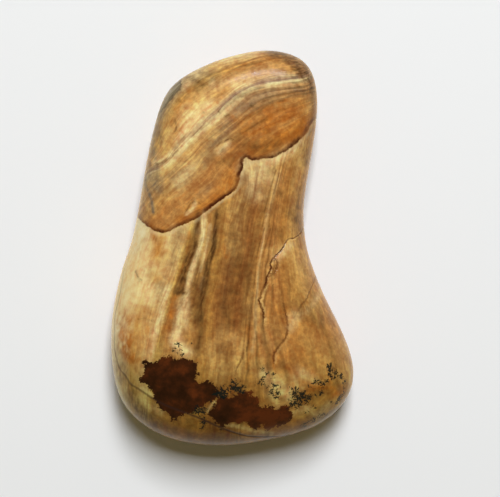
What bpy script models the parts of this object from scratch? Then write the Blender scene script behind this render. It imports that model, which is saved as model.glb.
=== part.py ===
"""Picture jasper: one tumbled and polished stone, lying on its flatter side.

The stone is a single solid. Seen from above it is a slanted pear: a narrow head towards +Y, a waist
on the +X side and a broad foot towards -Y. +Z is up, and the origin is the centre of the bounding
box's underside, so the stone rests on the plane z = 0.
"""

import math

import bmesh
import bpy
import numpy as np

MM = 0.001

# Driving dimensions, in millimetres
LENGTH = 43.7  # along Y
WIDTH = 26.9  # along X
GIRDLE_HEIGHT = 5.6  # of the widest outline above the resting plane, on average
GIRDLE_SWAY = 0.5  # rise and fall of the girdle, twice in each turn round the stone
GIRDLE_SWAY_START = 0.9  # radians from +X, where it rises through its average
TOP_RISE = 6.2  # of the crown above the girdle
BASE_DROP = 6.0  # of the underside below the girdle, before its lowest part is worn flat

# Where the top and the underside roll over into the girdle
TOP_SHOULDER = 8.0
TOP_FULLNESS = 2.6
BASE_SHOULDER = 8.6
BASE_FULLNESS = 2.2

# The foot is thicker than the head, and the -X side a little thicker than the +X side
TAPER_PER_MM_Y = -0.0060
TAPER_PER_MM_X = -0.0040
BASE_CROWN = 0.16  # share of the drop lost at the ends of the underside
BASE_CENTRE = (-0.9, -2.6)

# Broad swells left by the wear of tumbling
SWELL_HEIGHT = 0.10
SWELL_LENGTH = 17.0
SWELL_SLANT = 0.6  # of the swells' run, in Y for each X

# The outline from above, clockwise from the top, with the centre of its box at (0, 0)
OUTLINE = (
    (3.97, 21.84),
    (7.75, 20.85),
    (9.16, 18.80),
    (9.31, 14.60),
    (8.19, 7.90),
    (7.72, 3.97),
    (8.19, -0.40),
    (9.95, -5.20),
    (12.15, -9.60),
    (13.43, -13.60),
    (12.35, -17.00),
    (9.00, -19.75),
    (3.75, -21.20),
    (-2.05, -21.84),
    (-7.75, -20.80),
    (-11.85, -17.80),
    (-13.30, -13.60),
    (-13.43, -8.00),
    (-12.40, -2.70),
    (-11.28, 0.60),
    (-10.38, 4.80),
    (-9.60, 9.30),
    (-8.60, 13.80),
    (-7.15, 17.60),
    (-3.00, 20.15),
    (0.50, 21.30),
)
CENTRE = (-0.9, -1.0)  # every point of the outline is in sight of it
STEPS_PER_SPAN = 16

CELLS = 24  # along each edge of the cube that the mesh starts from
GIRDLE_BAND = 1e-6  # points of the unit ball this near its equator lie on the girdle
LEAST_DISTANCE = 1e-3
RELAX_PASSES = 2

STONE_COLOUR = (0.43, 0.25, 0.095)  # linear
STONE_ROUGHNESS = 0.22


def closed_curve(points):
    """A smooth closed curve through the points, as a dense polyline."""
    curve = []
    for i in range(len(points)):
        before, start, end, after = (
            np.array(points[(i + k) % len(points)]) for k in (-1, 0, 1, 2)
        )
        for step in range(STEPS_PER_SPAN):
            t = step / STEPS_PER_SPAN
            curve.append(
                start
                + 0.5 * t * (end - before)
                + t**2 * (before - 2.5 * start + 2 * end - 0.5 * after)
                + 0.5 * t**3 * (3 * start - 3 * end + after - before)
            )
    return np.array(curve)


def sized_outline():
    """The outline curve, fitted to the stone's length and width about the origin."""
    curve = closed_curve(OUTLINE)
    low, high = curve.min(axis=0), curve.max(axis=0)
    return (curve - (low + high) / 2) * np.array((WIDTH, LENGTH)) / (high - low)


def reach(outline, angles):
    """How far the outline lies from CENTRE in each direction."""
    arm = outline - np.array(CENTRE)
    around = np.arctan2(arm[:, 1], arm[:, 0])
    order = np.argsort(around)
    return np.interp(
        angles, around[order], np.hypot(*arm.T)[order], period=2 * math.pi
    )


def soft_distance(outline, places):
    """The distance to the outline, without the creases that it has where two sides are equally near.

    Each bit of outline counts by the inverse fourth power of its distance, so beside a straight
    side the result is the true distance.
    """
    bits = np.roll(outline, -1, axis=0) - outline
    lengths = np.hypot(*bits.T)
    along = bits / lengths[:, None]
    arm = places[:, None] - outline[None]
    off = np.abs(arm[..., 0] * along[:, 1] - arm[..., 1] * along[:, 0])
    off = np.maximum(off, LEAST_DISTANCE)
    start = -(arm * along).sum(axis=2)
    total = 0
    for end, sign in ((start + lengths, 1), (start, -1)):
        share = end / (off**2 * (off**2 + end**2)) + np.arctan(end / off) / off**3
        total = total + sign * share.sum(axis=1)
    return (total / math.pi) ** (-1 / 3)


def shoulder(distance, width, fullness):
    """Share of the full height at a distance inside the outline: upright at 0, level at width."""
    inward = np.clip(distance / width, 0, 1)
    return np.sqrt(1 - (1 - inward) ** fullness)


def ball():
    """A unit ball of even quads, from a cube."""
    mesh = bmesh.new()
    bmesh.ops.create_cube(mesh, size=2)
    bmesh.ops.subdivide_edges(mesh, edges=mesh.edges, cuts=CELLS - 1, use_grid_fill=True)
    for vert in mesh.verts:
        vert.co = [math.tan(c * math.pi / 4) for c in vert.co]
        vert.co.normalize()
    return mesh


def shape_stone(mesh):
    """Moves the ball's points to the stone's surface, in millimetres."""
    outline = sized_outline()
    unit = np.array([vert.co for vert in mesh.verts])
    around = np.arctan2(unit[:, 1], unit[:, 0])
    x, y = (unit[:, :2] * reach(outline, around)[:, None] + CENTRE).T
    distance = soft_distance(outline, np.stack((x, y), axis=1))
    distance[np.abs(unit[:, 2]) < GIRDLE_BAND] = 0

    taper = 1 + TAPER_PER_MM_Y * y + TAPER_PER_MM_X * x
    swell = SWELL_HEIGHT * np.sin(2 * math.pi * (x + SWELL_SLANT * y) / SWELL_LENGTH)
    from_base_centre = ((x - BASE_CENTRE[0]) / (WIDTH / 2)) ** 2
    from_base_centre += ((y - BASE_CENTRE[1]) / (LENGTH / 2)) ** 2
    rise = TOP_RISE * taper + swell
    drop = BASE_DROP * (1 - BASE_CROWN * from_base_centre)

    upper = unit[:, 2] > 0
    share = np.where(
        upper,
        shoulder(distance, TOP_SHOULDER, TOP_FULLNESS),
        shoulder(distance, BASE_SHOULDER, BASE_FULLNESS),
    )
    sway = GIRDLE_SWAY * np.sin(2 * (around - GIRDLE_SWAY_START)) * (1 - share)
    z = GIRDLE_HEIGHT + sway + share * np.where(upper, rise, -drop)
    for vert, place in zip(mesh.verts, np.stack((x, y, z), axis=1)):
        vert.co = place


def relax(mesh):
    for _ in range(RELAX_PASSES):
        bmesh.ops.smooth_vert(
            mesh, verts=mesh.verts, factor=0.5, use_axis_x=True, use_axis_y=True, use_axis_z=True
        )


def settle(mesh):
    """Restores the length and width after relaxing, and wears the underside flat at z = 0."""
    places = np.array([vert.co for vert in mesh.verts])[:, :2]
    low, high = places.min(axis=0), places.max(axis=0)
    scale = np.array((WIDTH, LENGTH)) / (high - low)
    for vert, (x, y) in zip(mesh.verts, (places - (low + high) / 2) * scale):
        vert.co = (x, y, max(vert.co.z, 0))


def stone_material():
    material = bpy.data.materials.new("polished_jasper")
    material.use_nodes = True
    shader = material.node_tree.nodes["Principled BSDF"]
    shader.inputs["Base Color"].default_value = (*STONE_COLOUR, 1)
    shader.inputs["Roughness"].default_value = STONE_ROUGHNESS
    shader.inputs["Metallic"].default_value = 0
    return material


def make_stone():
    mesh = ball()
    shape_stone(mesh)
    relax(mesh)
    settle(mesh)
    for vert in mesh.verts:
        vert.co *= MM
    bmesh.ops.recalc_face_normals(mesh, faces=mesh.faces)
    data = bpy.data.meshes.new("picture_jasper")
    mesh.to_mesh(data)
    mesh.free()
    data.shade_smooth()
    data.materials.append(stone_material())
    stone = bpy.data.objects.new("picture_jasper", data)
    bpy.context.scene.collection.objects.link(stone)


for old in list(bpy.data.objects):
    bpy.data.objects.remove(old)
make_stone()
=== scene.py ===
import math

import bmesh
import bpy
import numpy as np
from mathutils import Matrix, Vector


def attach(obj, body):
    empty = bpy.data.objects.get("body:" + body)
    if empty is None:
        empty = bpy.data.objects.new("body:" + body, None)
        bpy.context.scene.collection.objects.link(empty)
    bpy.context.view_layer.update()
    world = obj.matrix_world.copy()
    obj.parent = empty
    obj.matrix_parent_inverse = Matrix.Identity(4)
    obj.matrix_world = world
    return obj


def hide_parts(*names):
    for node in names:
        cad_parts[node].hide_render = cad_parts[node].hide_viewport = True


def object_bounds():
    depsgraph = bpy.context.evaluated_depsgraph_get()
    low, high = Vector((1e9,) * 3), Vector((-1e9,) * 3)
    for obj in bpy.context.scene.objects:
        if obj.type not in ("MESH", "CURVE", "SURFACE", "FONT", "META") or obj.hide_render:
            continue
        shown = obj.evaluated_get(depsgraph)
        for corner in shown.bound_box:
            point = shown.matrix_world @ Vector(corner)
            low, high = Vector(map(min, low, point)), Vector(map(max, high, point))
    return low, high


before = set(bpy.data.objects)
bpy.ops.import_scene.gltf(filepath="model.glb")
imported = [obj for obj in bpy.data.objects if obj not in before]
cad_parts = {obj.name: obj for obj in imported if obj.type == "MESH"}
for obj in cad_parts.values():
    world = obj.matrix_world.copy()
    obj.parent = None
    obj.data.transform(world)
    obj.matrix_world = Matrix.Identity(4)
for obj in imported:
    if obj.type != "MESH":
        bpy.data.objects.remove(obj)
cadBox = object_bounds()
print("frame loaded:", sorted(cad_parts))

mm = 0.001

# The camera looks straight down. Places of the markings are in millimetres on the plane that the
# stone rests on, as the camera sees them there, with the stone's own origin and axes.
view = {
    "height": 200.0,  # mm from the resting plane to the lens
    "over": (1.97, -0.08),  # the point under the lens
    "lens": 126.0,
    "sensor": 36.0,
}


def hexColour(code):
    # an sRGB hex value as linear RGBA
    parts = [int(code[i:i + 2], 16) / 255 for i in (1, 3, 5)]
    return [c / 12.92 if c <= 0.04045 else ((c + 0.055) / 1.055) ** 2.4 for c in parts] + [1]


def addNode(tree, kind, sockets=(), out=0, stops=(), **settings):
    # one shader node: its sockets, by key or in their order, are set to a value, or linked where the
    # value is another node's socket
    node = tree.nodes.new("ShaderNode" + kind)
    for name, value in settings.items():
        setattr(node, name, value)
    for key, value in sockets.items() if isinstance(sockets, dict) else enumerate(sockets):
        if isinstance(value, bpy.types.NodeSocket):
            tree.links.new(value, node.inputs[key])
        else:
            node.inputs[key].default_value = value
    for place, code in stops[1:-1]:
        node.color_ramp.elements.new(place).color = hexColour(code)
    for i in (0, -1) if stops else ():
        node.color_ramp.elements[i].position = stops[i][0]
        node.color_ramp.elements[i].color = hexColour(stops[i][1])
    return node.outputs[out]


def smoothLine(points, steps=6, closed=False):
    # a smooth line through given points
    points = np.array(points, float)
    if closed:
        padded = np.vstack((points[-1:], points, points[:2]))
    else:
        padded = np.vstack((2 * points[0] - points[1], points, 2 * points[-1] - points[-2]))
    t = np.linspace(0, 1, steps, endpoint=False)[:, None]
    pieces = [
        start + 0.5 * t * (end - before)
        + t**2 * (before - 2.5 * start + 2 * end - 0.5 * after)
        + 0.5 * t**3 * (3 * start - 3 * end + after - before)
        for before, start, end, after in zip(padded, padded[1:], padded[2:], padded[3:])
    ]
    return np.vstack(pieces + [points[:1] if closed else points[-1:]])


def measure(places, line, atOnce=4000):
    # for each place, its gap to the line, positive on the left as the line runs, and the run to there
    starts, runs = line[:-1], np.diff(line, axis=0)
    lengths = np.hypot(*runs.T)
    before = np.concatenate(([0], lengths.cumsum()))
    gaps, alongs = [], []
    for part in np.array_split(places, 1 + len(places) // atOnce):
        arm = part[:, None] - starts
        share = np.clip((arm * runs).sum(axis=2) / lengths**2, 0, 1)
        off = arm - share[..., None] * runs
        gap = np.hypot(off[..., 0], off[..., 1])
        nearest = gap.argmin(axis=1)
        rows = np.arange(len(part))
        turn = runs[nearest, 0] * arm[rows, nearest, 1] - runs[nearest, 1] * arm[rows, nearest, 0]
        gaps.append(np.where(turn < 0, -1, 1) * gap[rows, nearest])
        alongs.append(before[nearest] + share[rows, nearest] * lengths[nearest])
    return np.concatenate(gaps), np.concatenate(alongs)


def within(places, line, reach):
    # which places lie in the line's box, widened by the reach
    low, high = np.min(line, axis=0) - reach, np.max(line, axis=0) + reach
    return ((places > low) & (places < high)).all(axis=1)


def flow(places, guides, leastGap=1e-6):
    # millimetres across the bands and along them, between guide lines that run down the bands
    values = [value for value, _ in guides]
    gaps, alongs = zip(*(measure(places, smoothLine(line, 3)) for _, line in guides))
    across, along = values[0] + gaps[0], alongs[0].copy()
    for i, gap in enumerate(gaps):
        past = gap > 0
        if i == len(guides) - 1:
            across[past], along[past] = values[i] + gap[past], alongs[i][past]
            continue
        to = np.minimum(gaps[i + 1], -leastGap)
        share = gap / (gap - to)
        across[past] = (values[i] + (values[i + 1] - values[i]) * share)[past]
        along[past] = (alongs[i] * (1 - share) + alongs[i + 1] * share)[past]
    return across, along


def brush(places, marks, reach=2.6):
    # how strongly soft strokes cover each place, out to some times their half-width
    clear = np.ones(len(places))
    for strength, width, line in marks:
        close = within(places, line, reach * width)
        gap, _ = measure(places[close], smoothLine(line, 4))
        clear[close] *= 1 - strength * np.exp(-((gap / width) ** 2))
    return 1 - clear


# Guide lines of the bedding. The head of the stone is a cap whose bands run from its upper right to
# its lower left; below the cap's edge they run down the stone and spread towards the foot.
capEdge = [
    (-12.6, 6.6), (-11.4, 4.4), (-10.85, 3.5), (-10.25, 2.85), (-9.5, 2.3), (-8.8, 1.9), (-7.9, 1.75),
    (-7.1, 1.95), (-6.4, 2.35), (-5.6, 2.7), (-4.8, 3.05), (-4.0, 3.45), (-3.0, 4.25), (-2.0, 5.0),
    (-1.1, 5.7), (-0.2, 6.25), (0.4, 6.85), (0.65, 7.5), (0.75, 8.2), (0.95, 8.75), (1.2, 9.4),
    (1.15, 9.95), (1.45, 10.4), (1.75, 10.25), (2.1, 10.0), (2.8, 10.05), (3.7, 10.25), (4.65, 10.35),
    (5.5, 10.75), (6.55, 11.4), (7.7, 12.4), (8.3, 12.95), (8.6, 13.6), (9.15, 14.4), (10.5, 16.0),
]
capGuides = [
    (0.0, [(10.5, 23.1), (6.0, 23.1), (2.0, 22.4), (-2.0, 21.2), (-5.5, 19.4), (-7.75, 16.9),
           (-9.2, 13.7), (-10.4, 10.0), (-11.5, 6.6)]),
    (5.4, [(11.1, 21.2), (9.05, 19.85), (7.0, 19.05), (4.8, 18.85), (2.75, 18.35), (1.15, 17.7),
           (-0.3, 16.55), (-1.6, 15.35), (-2.7, 14.5), (-4.2, 13.0), (-5.85, 11.3), (-7.2, 9.8),
           (-8.4, 9.1), (-9.7, 8.4), (-11.5, 5.6)]),
    (7.9, [(11.1, 18.5), (9.05, 17.8), (6.65, 17.45), (4.0, 16.75), (2.2, 15.75), (0.6, 14.6),
           (-1.2, 13.2), (-3.2, 11.6), (-4.9, 9.7), (-6.95, 7.95), (-8.8, 6.25), (-10.6, 3.85)]),
    (13.0, [(11.3, 16.4), (9.5, 14.4), (7.7, 12.55), (5.4, 11.2), (2.65, 10.25), (1.05, 8.9),
            (-0.3, 6.4), (-3.05, 4.1), (-6.5, 1.8), (-9.9, -0.25)]),
]
bodyGuides = [
    (-11.7, [(-10.5, 4.1), (-11.4, 1.5), (-12.1, -1.2), (-12.9, -4.8), (-13.6, -7.8), (-13.9, -11.1),
             (-13.9, -15.1), (-13.35, -19.7), (-12.4, -24.2)]),
    (-4.4, [(-3.4, 5.45), (-3.85, 3.75), (-4.1, 2.05), (-4.4, 0.3), (-5.05, -1.4), (-5.6, -3.35),
            (-6.05, -4.85), (-6.7, -7.0), (-7.3, -8.85), (-7.65, -10.65), (-8.2, -13.4),
            (-8.8, -17.4), (-9.25, -24.2)]),
    (-3.7, [(-2.7, 5.45), (-3.25, 3.75), (-3.4, 1.7), (-4.0, -0.85), (-4.9, -3.7), (-5.35, -5.15),
            (-6.15, -7.35), (-6.65, -9.4), (-6.95, -11.1), (-7.4, -14.0), (-7.85, -17.4),
            (-8.3, -24.2)]),
    (-2.2, [(-1.25, 6.6), (-1.7, 4.55), (-2.05, 2.5), (-2.2, 0.3), (-2.7, -1.55), (-3.0, -3.35),
            (-3.3, -4.85), (-3.65, -6.3), (-3.75, -8.25), (-4.1, -11.7), (-4.55, -17.4),
            (-4.9, -24.2)]),
    (2.9, [(5.75, 12.9), (5.15, 10.55), (4.8, 8.7), (4.35, 7.3), (4.05, 5.8), (3.8, 4.3), (3.2, 2.5),
           (3.0, 0.65), (2.65, -1.15), (2.5, -2.65), (2.4, -4.25), (2.2, -7.1), (1.85, -10.55),
           (1.5, -13.95), (1.15, -18.55), (0.8, -24.2)]),
    (4.3, [(6.9, 13.45), (6.2, 10.25), (5.6, 7.75), (5.15, 5.45), (4.7, 3.15), (4.35, 0.9),
           (4.15, -1.65), (4.0, -4.85), (4.15, -8.25), (4.35, -11.7), (4.6, -15.7), (4.95, -24.2)]),
    (8.3, [(9.75, 15.75), (9.05, 11.15), (8.5, 7.75), (8.0, 4.9), (7.9, 2.25), (8.5, -0.25),
           (9.6, -3.7), (11.2, -7.1), (12.8, -10.75), (13.85, -14.2), (14.3, -17.4), (14.5, -24.2)]),
]

# Hairline cracks, with a dark upper side and a pale lower one, partly their own colour and partly painted
# # shade and painted highlight on the groove's walls: how strong each is at its start and at its end, and
# its line
cracks = [
    (1.0, 1.0, [(8.3, 2.5), (7.95, 2.0), (7.65, 1.5), (7.45, 1.35), (7.0, 1.05), (6.5, 1.05),
                (6.15, 0.65), (5.75, -0.05), (5.3, -0.6), (4.7, -1.2), (4.35, -1.75), (4.4, -2.3),
                (4.0, -3.35), (3.75, -4.25), (3.4, -4.85), (3.2, -5.55), (3.05, -6.1),
                (3.2, -6.65), (3.45, -7.2), (3.55, -8.0)]),
    (0.1, 0.6, [(4.95, -2.55), (5.3, -3.75), (5.6, -4.85), (5.8, -6.3), (6.0, -7.4)]),
    (0.7, 0.8, [(6.0, -7.4), (6.3, -8.7), (6.1, -10.25), (5.5, -11.0), (5.1, -11.55), (4.75, -12.15),
                (4.7, -12.95)]),
    (0.8, 0.6, [(4.7, -1.2), (5.1, -1.5), (5.1, -2.1), (4.8, -2.9), (4.25, -3.25), (4.0, -3.35)]),
    (0.8, 0.5, [(9.6, -2.8), (9.4, -3.45), (9.15, -4.25), (8.75, -5.15), (8.5, -5.8), (7.9, -6.5),
                (7.6, -7.1)]),
    (0.6, 0.4, [(1.2, -12.0), (1.05, -12.6), (0.8, -13.15), (0.5, -13.8)]),
]
# One long seam, faint at its start, runs round the foot just inside the outline
seam = (0.25, 1.0, [
    (-11.3, 1.8), (-11.75, 0.25), (-12.15, -1.15), (-12.5, -2.9), (-12.8, -4.85), (-13.15, -6.35),
    (-13.45, -7.75), (-13.5, -9.55), (-13.5, -11.55), (-13.3, -12.6), (-12.9, -13.85),
    (-12.25, -14.65), (-11.7, -15.55), (-10.95, -16.05), (-10.1, -16.6), (-9.3, -17.15), (-8.0, -17.85),
    (-6.5, -18.45), (-5.05, -19.0), (-3.65, -19.55), (-2.2, -20.2), (-0.8, -20.8), (0.2, -21.15),
    (1.6, -21.5), (3.2, -21.6), (5.3, -21.55), (6.9, -21.35),
])

# Outlines of the two dark brown blotches in the foot
blotches = [
    [(-10.25, -13.0), (-9.45, -12.95), (-8.55, -12.9), (-8.15, -12.6), (-7.5, -12.35), (-7.0, -12.45),
     (-6.55, -12.85), (-5.7, -12.75), (-4.8, -12.85), (-4.2, -13.15), (-4.15, -13.95), (-3.8, -14.6),
     (-4.4, -15.1), (-3.65, -15.35), (-3.05, -14.9), (-2.4, -15.45), (-1.7, -16.15), (-1.6, -16.95),
     (-2.4, -17.5), (-3.2, -18.05), (-3.85, -18.3), (-4.85, -18.9), (-5.35, -19.15), (-6.5, -19.45),
     (-7.0, -19.75), (-7.5, -18.95), (-8.25, -18.6), (-8.75, -17.55), (-9.1, -17.15), (-8.75, -16.7),
     (-9.3, -16.15), (-9.95, -15.55), (-10.55, -15.35), (-10.55, -14.75), (-10.25, -14.15),
     (-10.15, -13.4)],
    [(-2.75, -18.75), (-1.8, -17.75), (-1.45, -17.0), (-0.1, -17.0), (0.7, -16.6), (1.4, -16.45),
     (2.25, -16.45), (2.05, -17.0), (2.9, -17.2), (2.9, -18.2), (3.8, -18.1), (4.65, -17.95),
     (5.1, -18.45), (6.2, -17.85), (6.65, -18.45), (6.75, -19.5), (6.1, -20.05), (5.3, -20.35),
     (3.8, -20.85), (3.35, -20.15), (2.9, -20.85), (2.25, -20.7), (1.4, -20.05), (-0.35, -20.15),
     (-1.45, -20.5), (-1.7, -20.15), (-2.4, -19.45)],
]

# A grey-olive patch that wraps over the cap's upper left side, clockwise from its top
greyPatch = [
    (-5.95, 18.95), (-6.0, 18.2), (-6.85, 17.25), (-7.7, 16.2), (-8.45, 15.3), (-8.8, 14.75), (-9.2, 14.5),
    (-9.9, 14.2), (-10.8, 15.0), (-10.0, 17.0), (-8.6, 19.2), (-7.0, 20.2), (-6.2, 19.6),
]

# Colours of the body from its left side to its right one, by millimetres across at the waist
bodyBands = [
    (-12.6, "#ECD8A6"), (-11.2, "#F0DEB0"), (-10.3, "#EBD6A0"), (-9.2, "#E0C184"),
    (-8.5, "#D1A75F"), (-7.4, "#CCA96A"), (-6.7, "#C7A36A"), (-5.8, "#C7A86C"), (-5.2, "#AE8B49"),
    (-4.4, "#9B7441"), (-3.0, "#9B6E3A"), (-1.3, "#9D7036"), (-0.6, "#8C5E2F"), (0.1, "#7B512A"),
    (0.9, "#8A5D2E"), (1.6, "#815027"), (2.2, "#936634"), (3.4, "#A5743D"), (4.3, "#996634"),
    (5.0, "#AE7A40"), (5.6, "#A26E36"), (6.3, "#AC7E42"), (7.0, "#B38649"), (8.4, "#A87642"),
    (9.5, "#A67B48"),
]
# Colours of the cap from its upper left edge to its rim
capBands = [
    (-0.5, "#7B6C4E"), (0.6, "#9E835A"), (1.4, "#B68D4F"), (2.6, "#C69A5F"), (3.6, "#BD8D50"),
    (4.2, "#C49D67"), (4.75, "#A78766"), (5.15, "#9C7D67"), (5.4, "#D6C190"), (5.75, "#C2AB7B"),
    (6.2, "#AC8152"), (6.9, "#A98256"), (7.6, "#9A7041"), (7.9, "#B88A54"), (8.3, "#92683E"),
    (8.8, "#AE824A"), (9.8, "#B0783F"), (11.0, "#AE7C44"), (12.0, "#B47A39"), (13.5, "#A2692F"),
]
# Fine lines along the bedding, in greys that are overlaid: mid grey adds nothing
bodyLines = [
    (-5.6, "#BCBCBC"), (-5.2, "#D8D8D8"), (-4.95, "#BCBCBC"), (-2.5, "#BCBCBC"), (-2.1, "#999999"),
    (-1.7, "#BCBCBC"), (2.35, "#BCBCBC"), (2.5, "#989898"), (2.68, "#C4C4C4"), (2.85, "#7E7E7E"),
    (3.05, "#C0C0C0"), (3.25, "#CECECE"), (3.45, "#848484"), (3.62, "#C4C4C4"), (3.8, "#CACACA"),
    (4.0, "#828282"), (4.2, "#C4C4C4"), (4.45, "#D4D4D4"), (4.65, "#909090"), (4.9, "#BCBCBC"),
    (7.2, "#BCBCBC"), (7.45, "#A0A0A0"), (7.7, "#BCBCBC"),
]
capLines = [
    (1.0, "#BCBCBC"), (1.25, "#989898"), (1.5, "#C8C8C8"), (1.8, "#8C8C8C"), (2.05, "#CCCCCC"),
    (2.4, "#A0A0A0"), (2.7, "#BCBCBC"), (4.1, "#BCBCBC"), (4.3, "#D8D8D8"), (4.48, "#A0A0A0"),
    (4.66, "#CCCCCC"), (4.85, "#9E9E9E"), (5.02, "#C8C8C8"), (5.18, "#949494"), (5.36, "#DEDEDE"),
    (5.58, "#C0C0C0"), (5.75, "#949494"), (5.95, "#C4C4C4"), (6.4, "#BCBCBC"), (6.6, "#929292"),
    (6.8, "#C8C8C8"), (7.15, "#BCBCBC"), (7.35, "#9A9A9A"), (7.6, "#D8D8D8"), (7.85, "#BCBCBC"),
    (8.1, "#929292"), (8.35, "#C8C8C8"), (9.2, "#BCBCBC"), (9.4, "#9C9C9C"), (9.6, "#BCBCBC"),
]

# Soft strokes: each has its strength, its half-width in mm and its line. The last kind are the solid
# # cores of the dendrites, and the others are stains over the bedding; some of the umber also paints shade
# # along the rim round the foot, and one cream stroke paints a highlight on the cap.
strokes = {}
strokes["gold"] = [
    (0.6, 0.5, [(-3.2, 21), (-0.9, 21.45), (1.4, 21.8), (3.35, 22.05)]),
    (0.75, 1.1, [(-9.45, 7.5), (-7.75, 8.65), (-5.8, 10.05), (-4, 11.65), (-2.4, 13.1)]),
    (0.6, 0.8, [(-7.4, 5.9), (-5.45, 7.5), (-3.75, 9.1)]),
    (0.6, 0.8, [(-5.6, 13.7), (-4.45, 15.05), (-3.05, 16.2)]),
    (0.5, 1.2, [(0.35, 6.6), (0.15, 3.75), (-0.1, 0.3)]),
    (0.6, 1, [(3.35, 9.45), (4.8, 10.05), (6.3, 10.6), (7.35, 11.15)]),
    (0.5, 0.9, [(4, 8.2), (4.25, 6.6)]),
    (0.6, 0.6, [(5.15, 0.2), (5.85, -0.5), (6.55, 0.2)]),
    (0.45, 1.6, [(-12, -1.65), (-12.45, -4.25), (-12.65, -6.55)]),
    (0.5, 0.9, [(-0.8, -9.95), (0.8, -11.1), (0.35, -12.85)]),
    (0.4, 0.8, [(-3.2, -11.7), (-2.4, -13.05), (-1.25, -14.2)]),
    (0.4, 1, [(2.55, -5.95), (3.35, -9.4), (3.8, -11.1)]),
    (0.4, 0.8, [(-2.15, -11.1), (-1.9, -12.5), (-2.05, -14.1)]),
    (0.5, 0.7, [(-3.75, 20.1), (-2.05, 20.55), (-0.3, 20.75)]),
    (0.5, 0.9, [(-11.05, -2.3), (-10.6, -4.25), (-11.2, -5.95)]),
    (0.5, 0.6, [(3.35, -13.05), (4, -14.2), (5.95, -14.9), (7.7, -16.5)]),
    (0.5, 0.5, [(7.7, -19.1), (9.05, -18.55), (10.55, -17.4)]),
    (0.5, 0.5, [(4.25, -0.25), (4.5, -1.65)]),
    (0.7, 0.5, [(-2.4, 21.25), (-0.9, 21.7), (0.8, 22.1), (2.55, 22.25)]),
    (0.6, 0.9, [(-6.95, 14.6), (-7.4, 12.9), (-7.65, 11.15)]),
    (0.6, 0.8, [(-5.6, 14.6), (-4.9, 15.5), (-4, 16.45)]),
    (0.5, 0.9, [(-4.2, 10.5), (-5.35, 8.65), (-6.25, 7.05)]),
    (0.4, 0.9, [(6.55, -0.25), (7.7, -1.65), (8.35, -2.75)]),
    (0.4, 0.7, [(-9.9, 6.6), (-10.4, 5), (-10.7, 3.4)]),
    (0.5, 0.7, [(8.7, 17.8), (8.8, 15.95), (8.7, 14.15)]),
    (0.5, 0.7, [(7.7, 10.5), (7.45, 8.2), (7.2, 6.15)]),
    (0.5, 0.6, [(-5.35, 20.1), (-3.75, 20.9), (-1.9, 21.45)]),
    (0.5, 0.6, [(-2.85, 1.8), (-3.3, -0.5), (-4, -2.55)]),
    (0.4, 0.7, [(-4.9, 7.95), (-4.2, 8.2)]),
    (0.45, 0.8, [(-10.05, 4.55), (-9.35, 4.3)]),
    (0.35, 0.8, [(-3.2, 11.15), (-3.75, 10.5)]),
    (0.35, 0.6, [(-4.9, 2.7), (-4.45, 2.95)]),
    (0.4, 0.6, [(-4.9, -7.35), (-4.9, -9.4)]),
    (0.4, 0.6, [(3.8, -2.3), (4.25, -3.25)]),
    (0.5, 1.2, [(-1.9, -14.2), (-0.1, -13.95), (1.75, -13.5)]),
    (0.5, 0.5, [(4.5, -17.65), (5.85, -17.95)]),
    (0.4, 0.7, [(12.6, -10.8), (13.2, -13), (13, -15)]),
    (0.4, 0.6, [(-13.4, -11), (-13.3, -13.5), (-12.6, -15.8)]),
]
strokes["slate"] = [
    (1, 0.55, [(-8.6, 15.2), (-8.2, 16.25), (-7.65, 17.3), (-6.9, 18.2), (-6.25, 18.65)]),
    (0.6, 0.3, [(-9.1, 14.3), (-9.15, 13.2), (-9.25, 12.25)]),
    (0.5, 0.4, [(-8.55, 13.75), (-8.55, 12.95)]),
    (0.6, 0.4, [(-9.1, 11.25), (-8.55, 8.5), (-8.8, 7.4), (-8.4, 6.55)]),
    (1, 0.2, [(-10.05, 8.2), (-9.95, 7.3), (-9.55, 6.2), (-9.25, 5.2), (-9.1, 4.1)]),
    (0.6, 0.7, [(-9.7, 9), (-9.3, 8), (-9.1, 7.1)]),
    (0.5, 0.25, [(-8.1, 8.1), (-8.05, 7.3), (-8.3, 6.8)]),
    (0.6, 0.3, [(6.55, 21.5), (7.4, 20.8), (8.2, 20.55)]),
    (0.7, 0.18, [(6.7, 19.7), (7.25, 19.45), (7.5, 20.15)]),
    (0.6, 0.2, [(-3.7, 20.05), (-4.25, 19.7)]),
    (0.9, 0.22, [(8.55, 12.85), (8.75, 13.15), (8.95, 13.6)]),
    (0.45, 0.8, [(-0.65, 13.5), (-2.2, 11.8), (-3.4, 10), (-4.8, 8.65), (-6.2, 7.25)]),
    (0.4, 0.8, [(0.6, 15.95), (2, 16.65), (3.35, 17.2), (4.75, 17.65)]),
    (0.5, 0.2, [(-2.05, 2.25), (-2.2, 0.4)]),
    (0.5, 0.2, [(-3.3, -3.4), (-3.6, -4.7)]),
    (0.4, 0.3, [(-3.85, 3.7), (-4.15, 1.85)]),
    (0.5, 0.25, [(5.95, 21.25), (7.2, 20.65), (8, 19.65)]),
    (0.5, 0.3, [(7.2, 18.05), (8.15, 17.8)]),
    (0.5, 0.3, [(9.95, -19.7), (11, -19), (11.8, -18.3)]),
    (0.3, 0.6, [(-6.95, 7.95), (-6.05, 8.65)]),
    (0.3, 0.6, [(-3.4, 6.25), (-2.7, 6.85)]),
]
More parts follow.
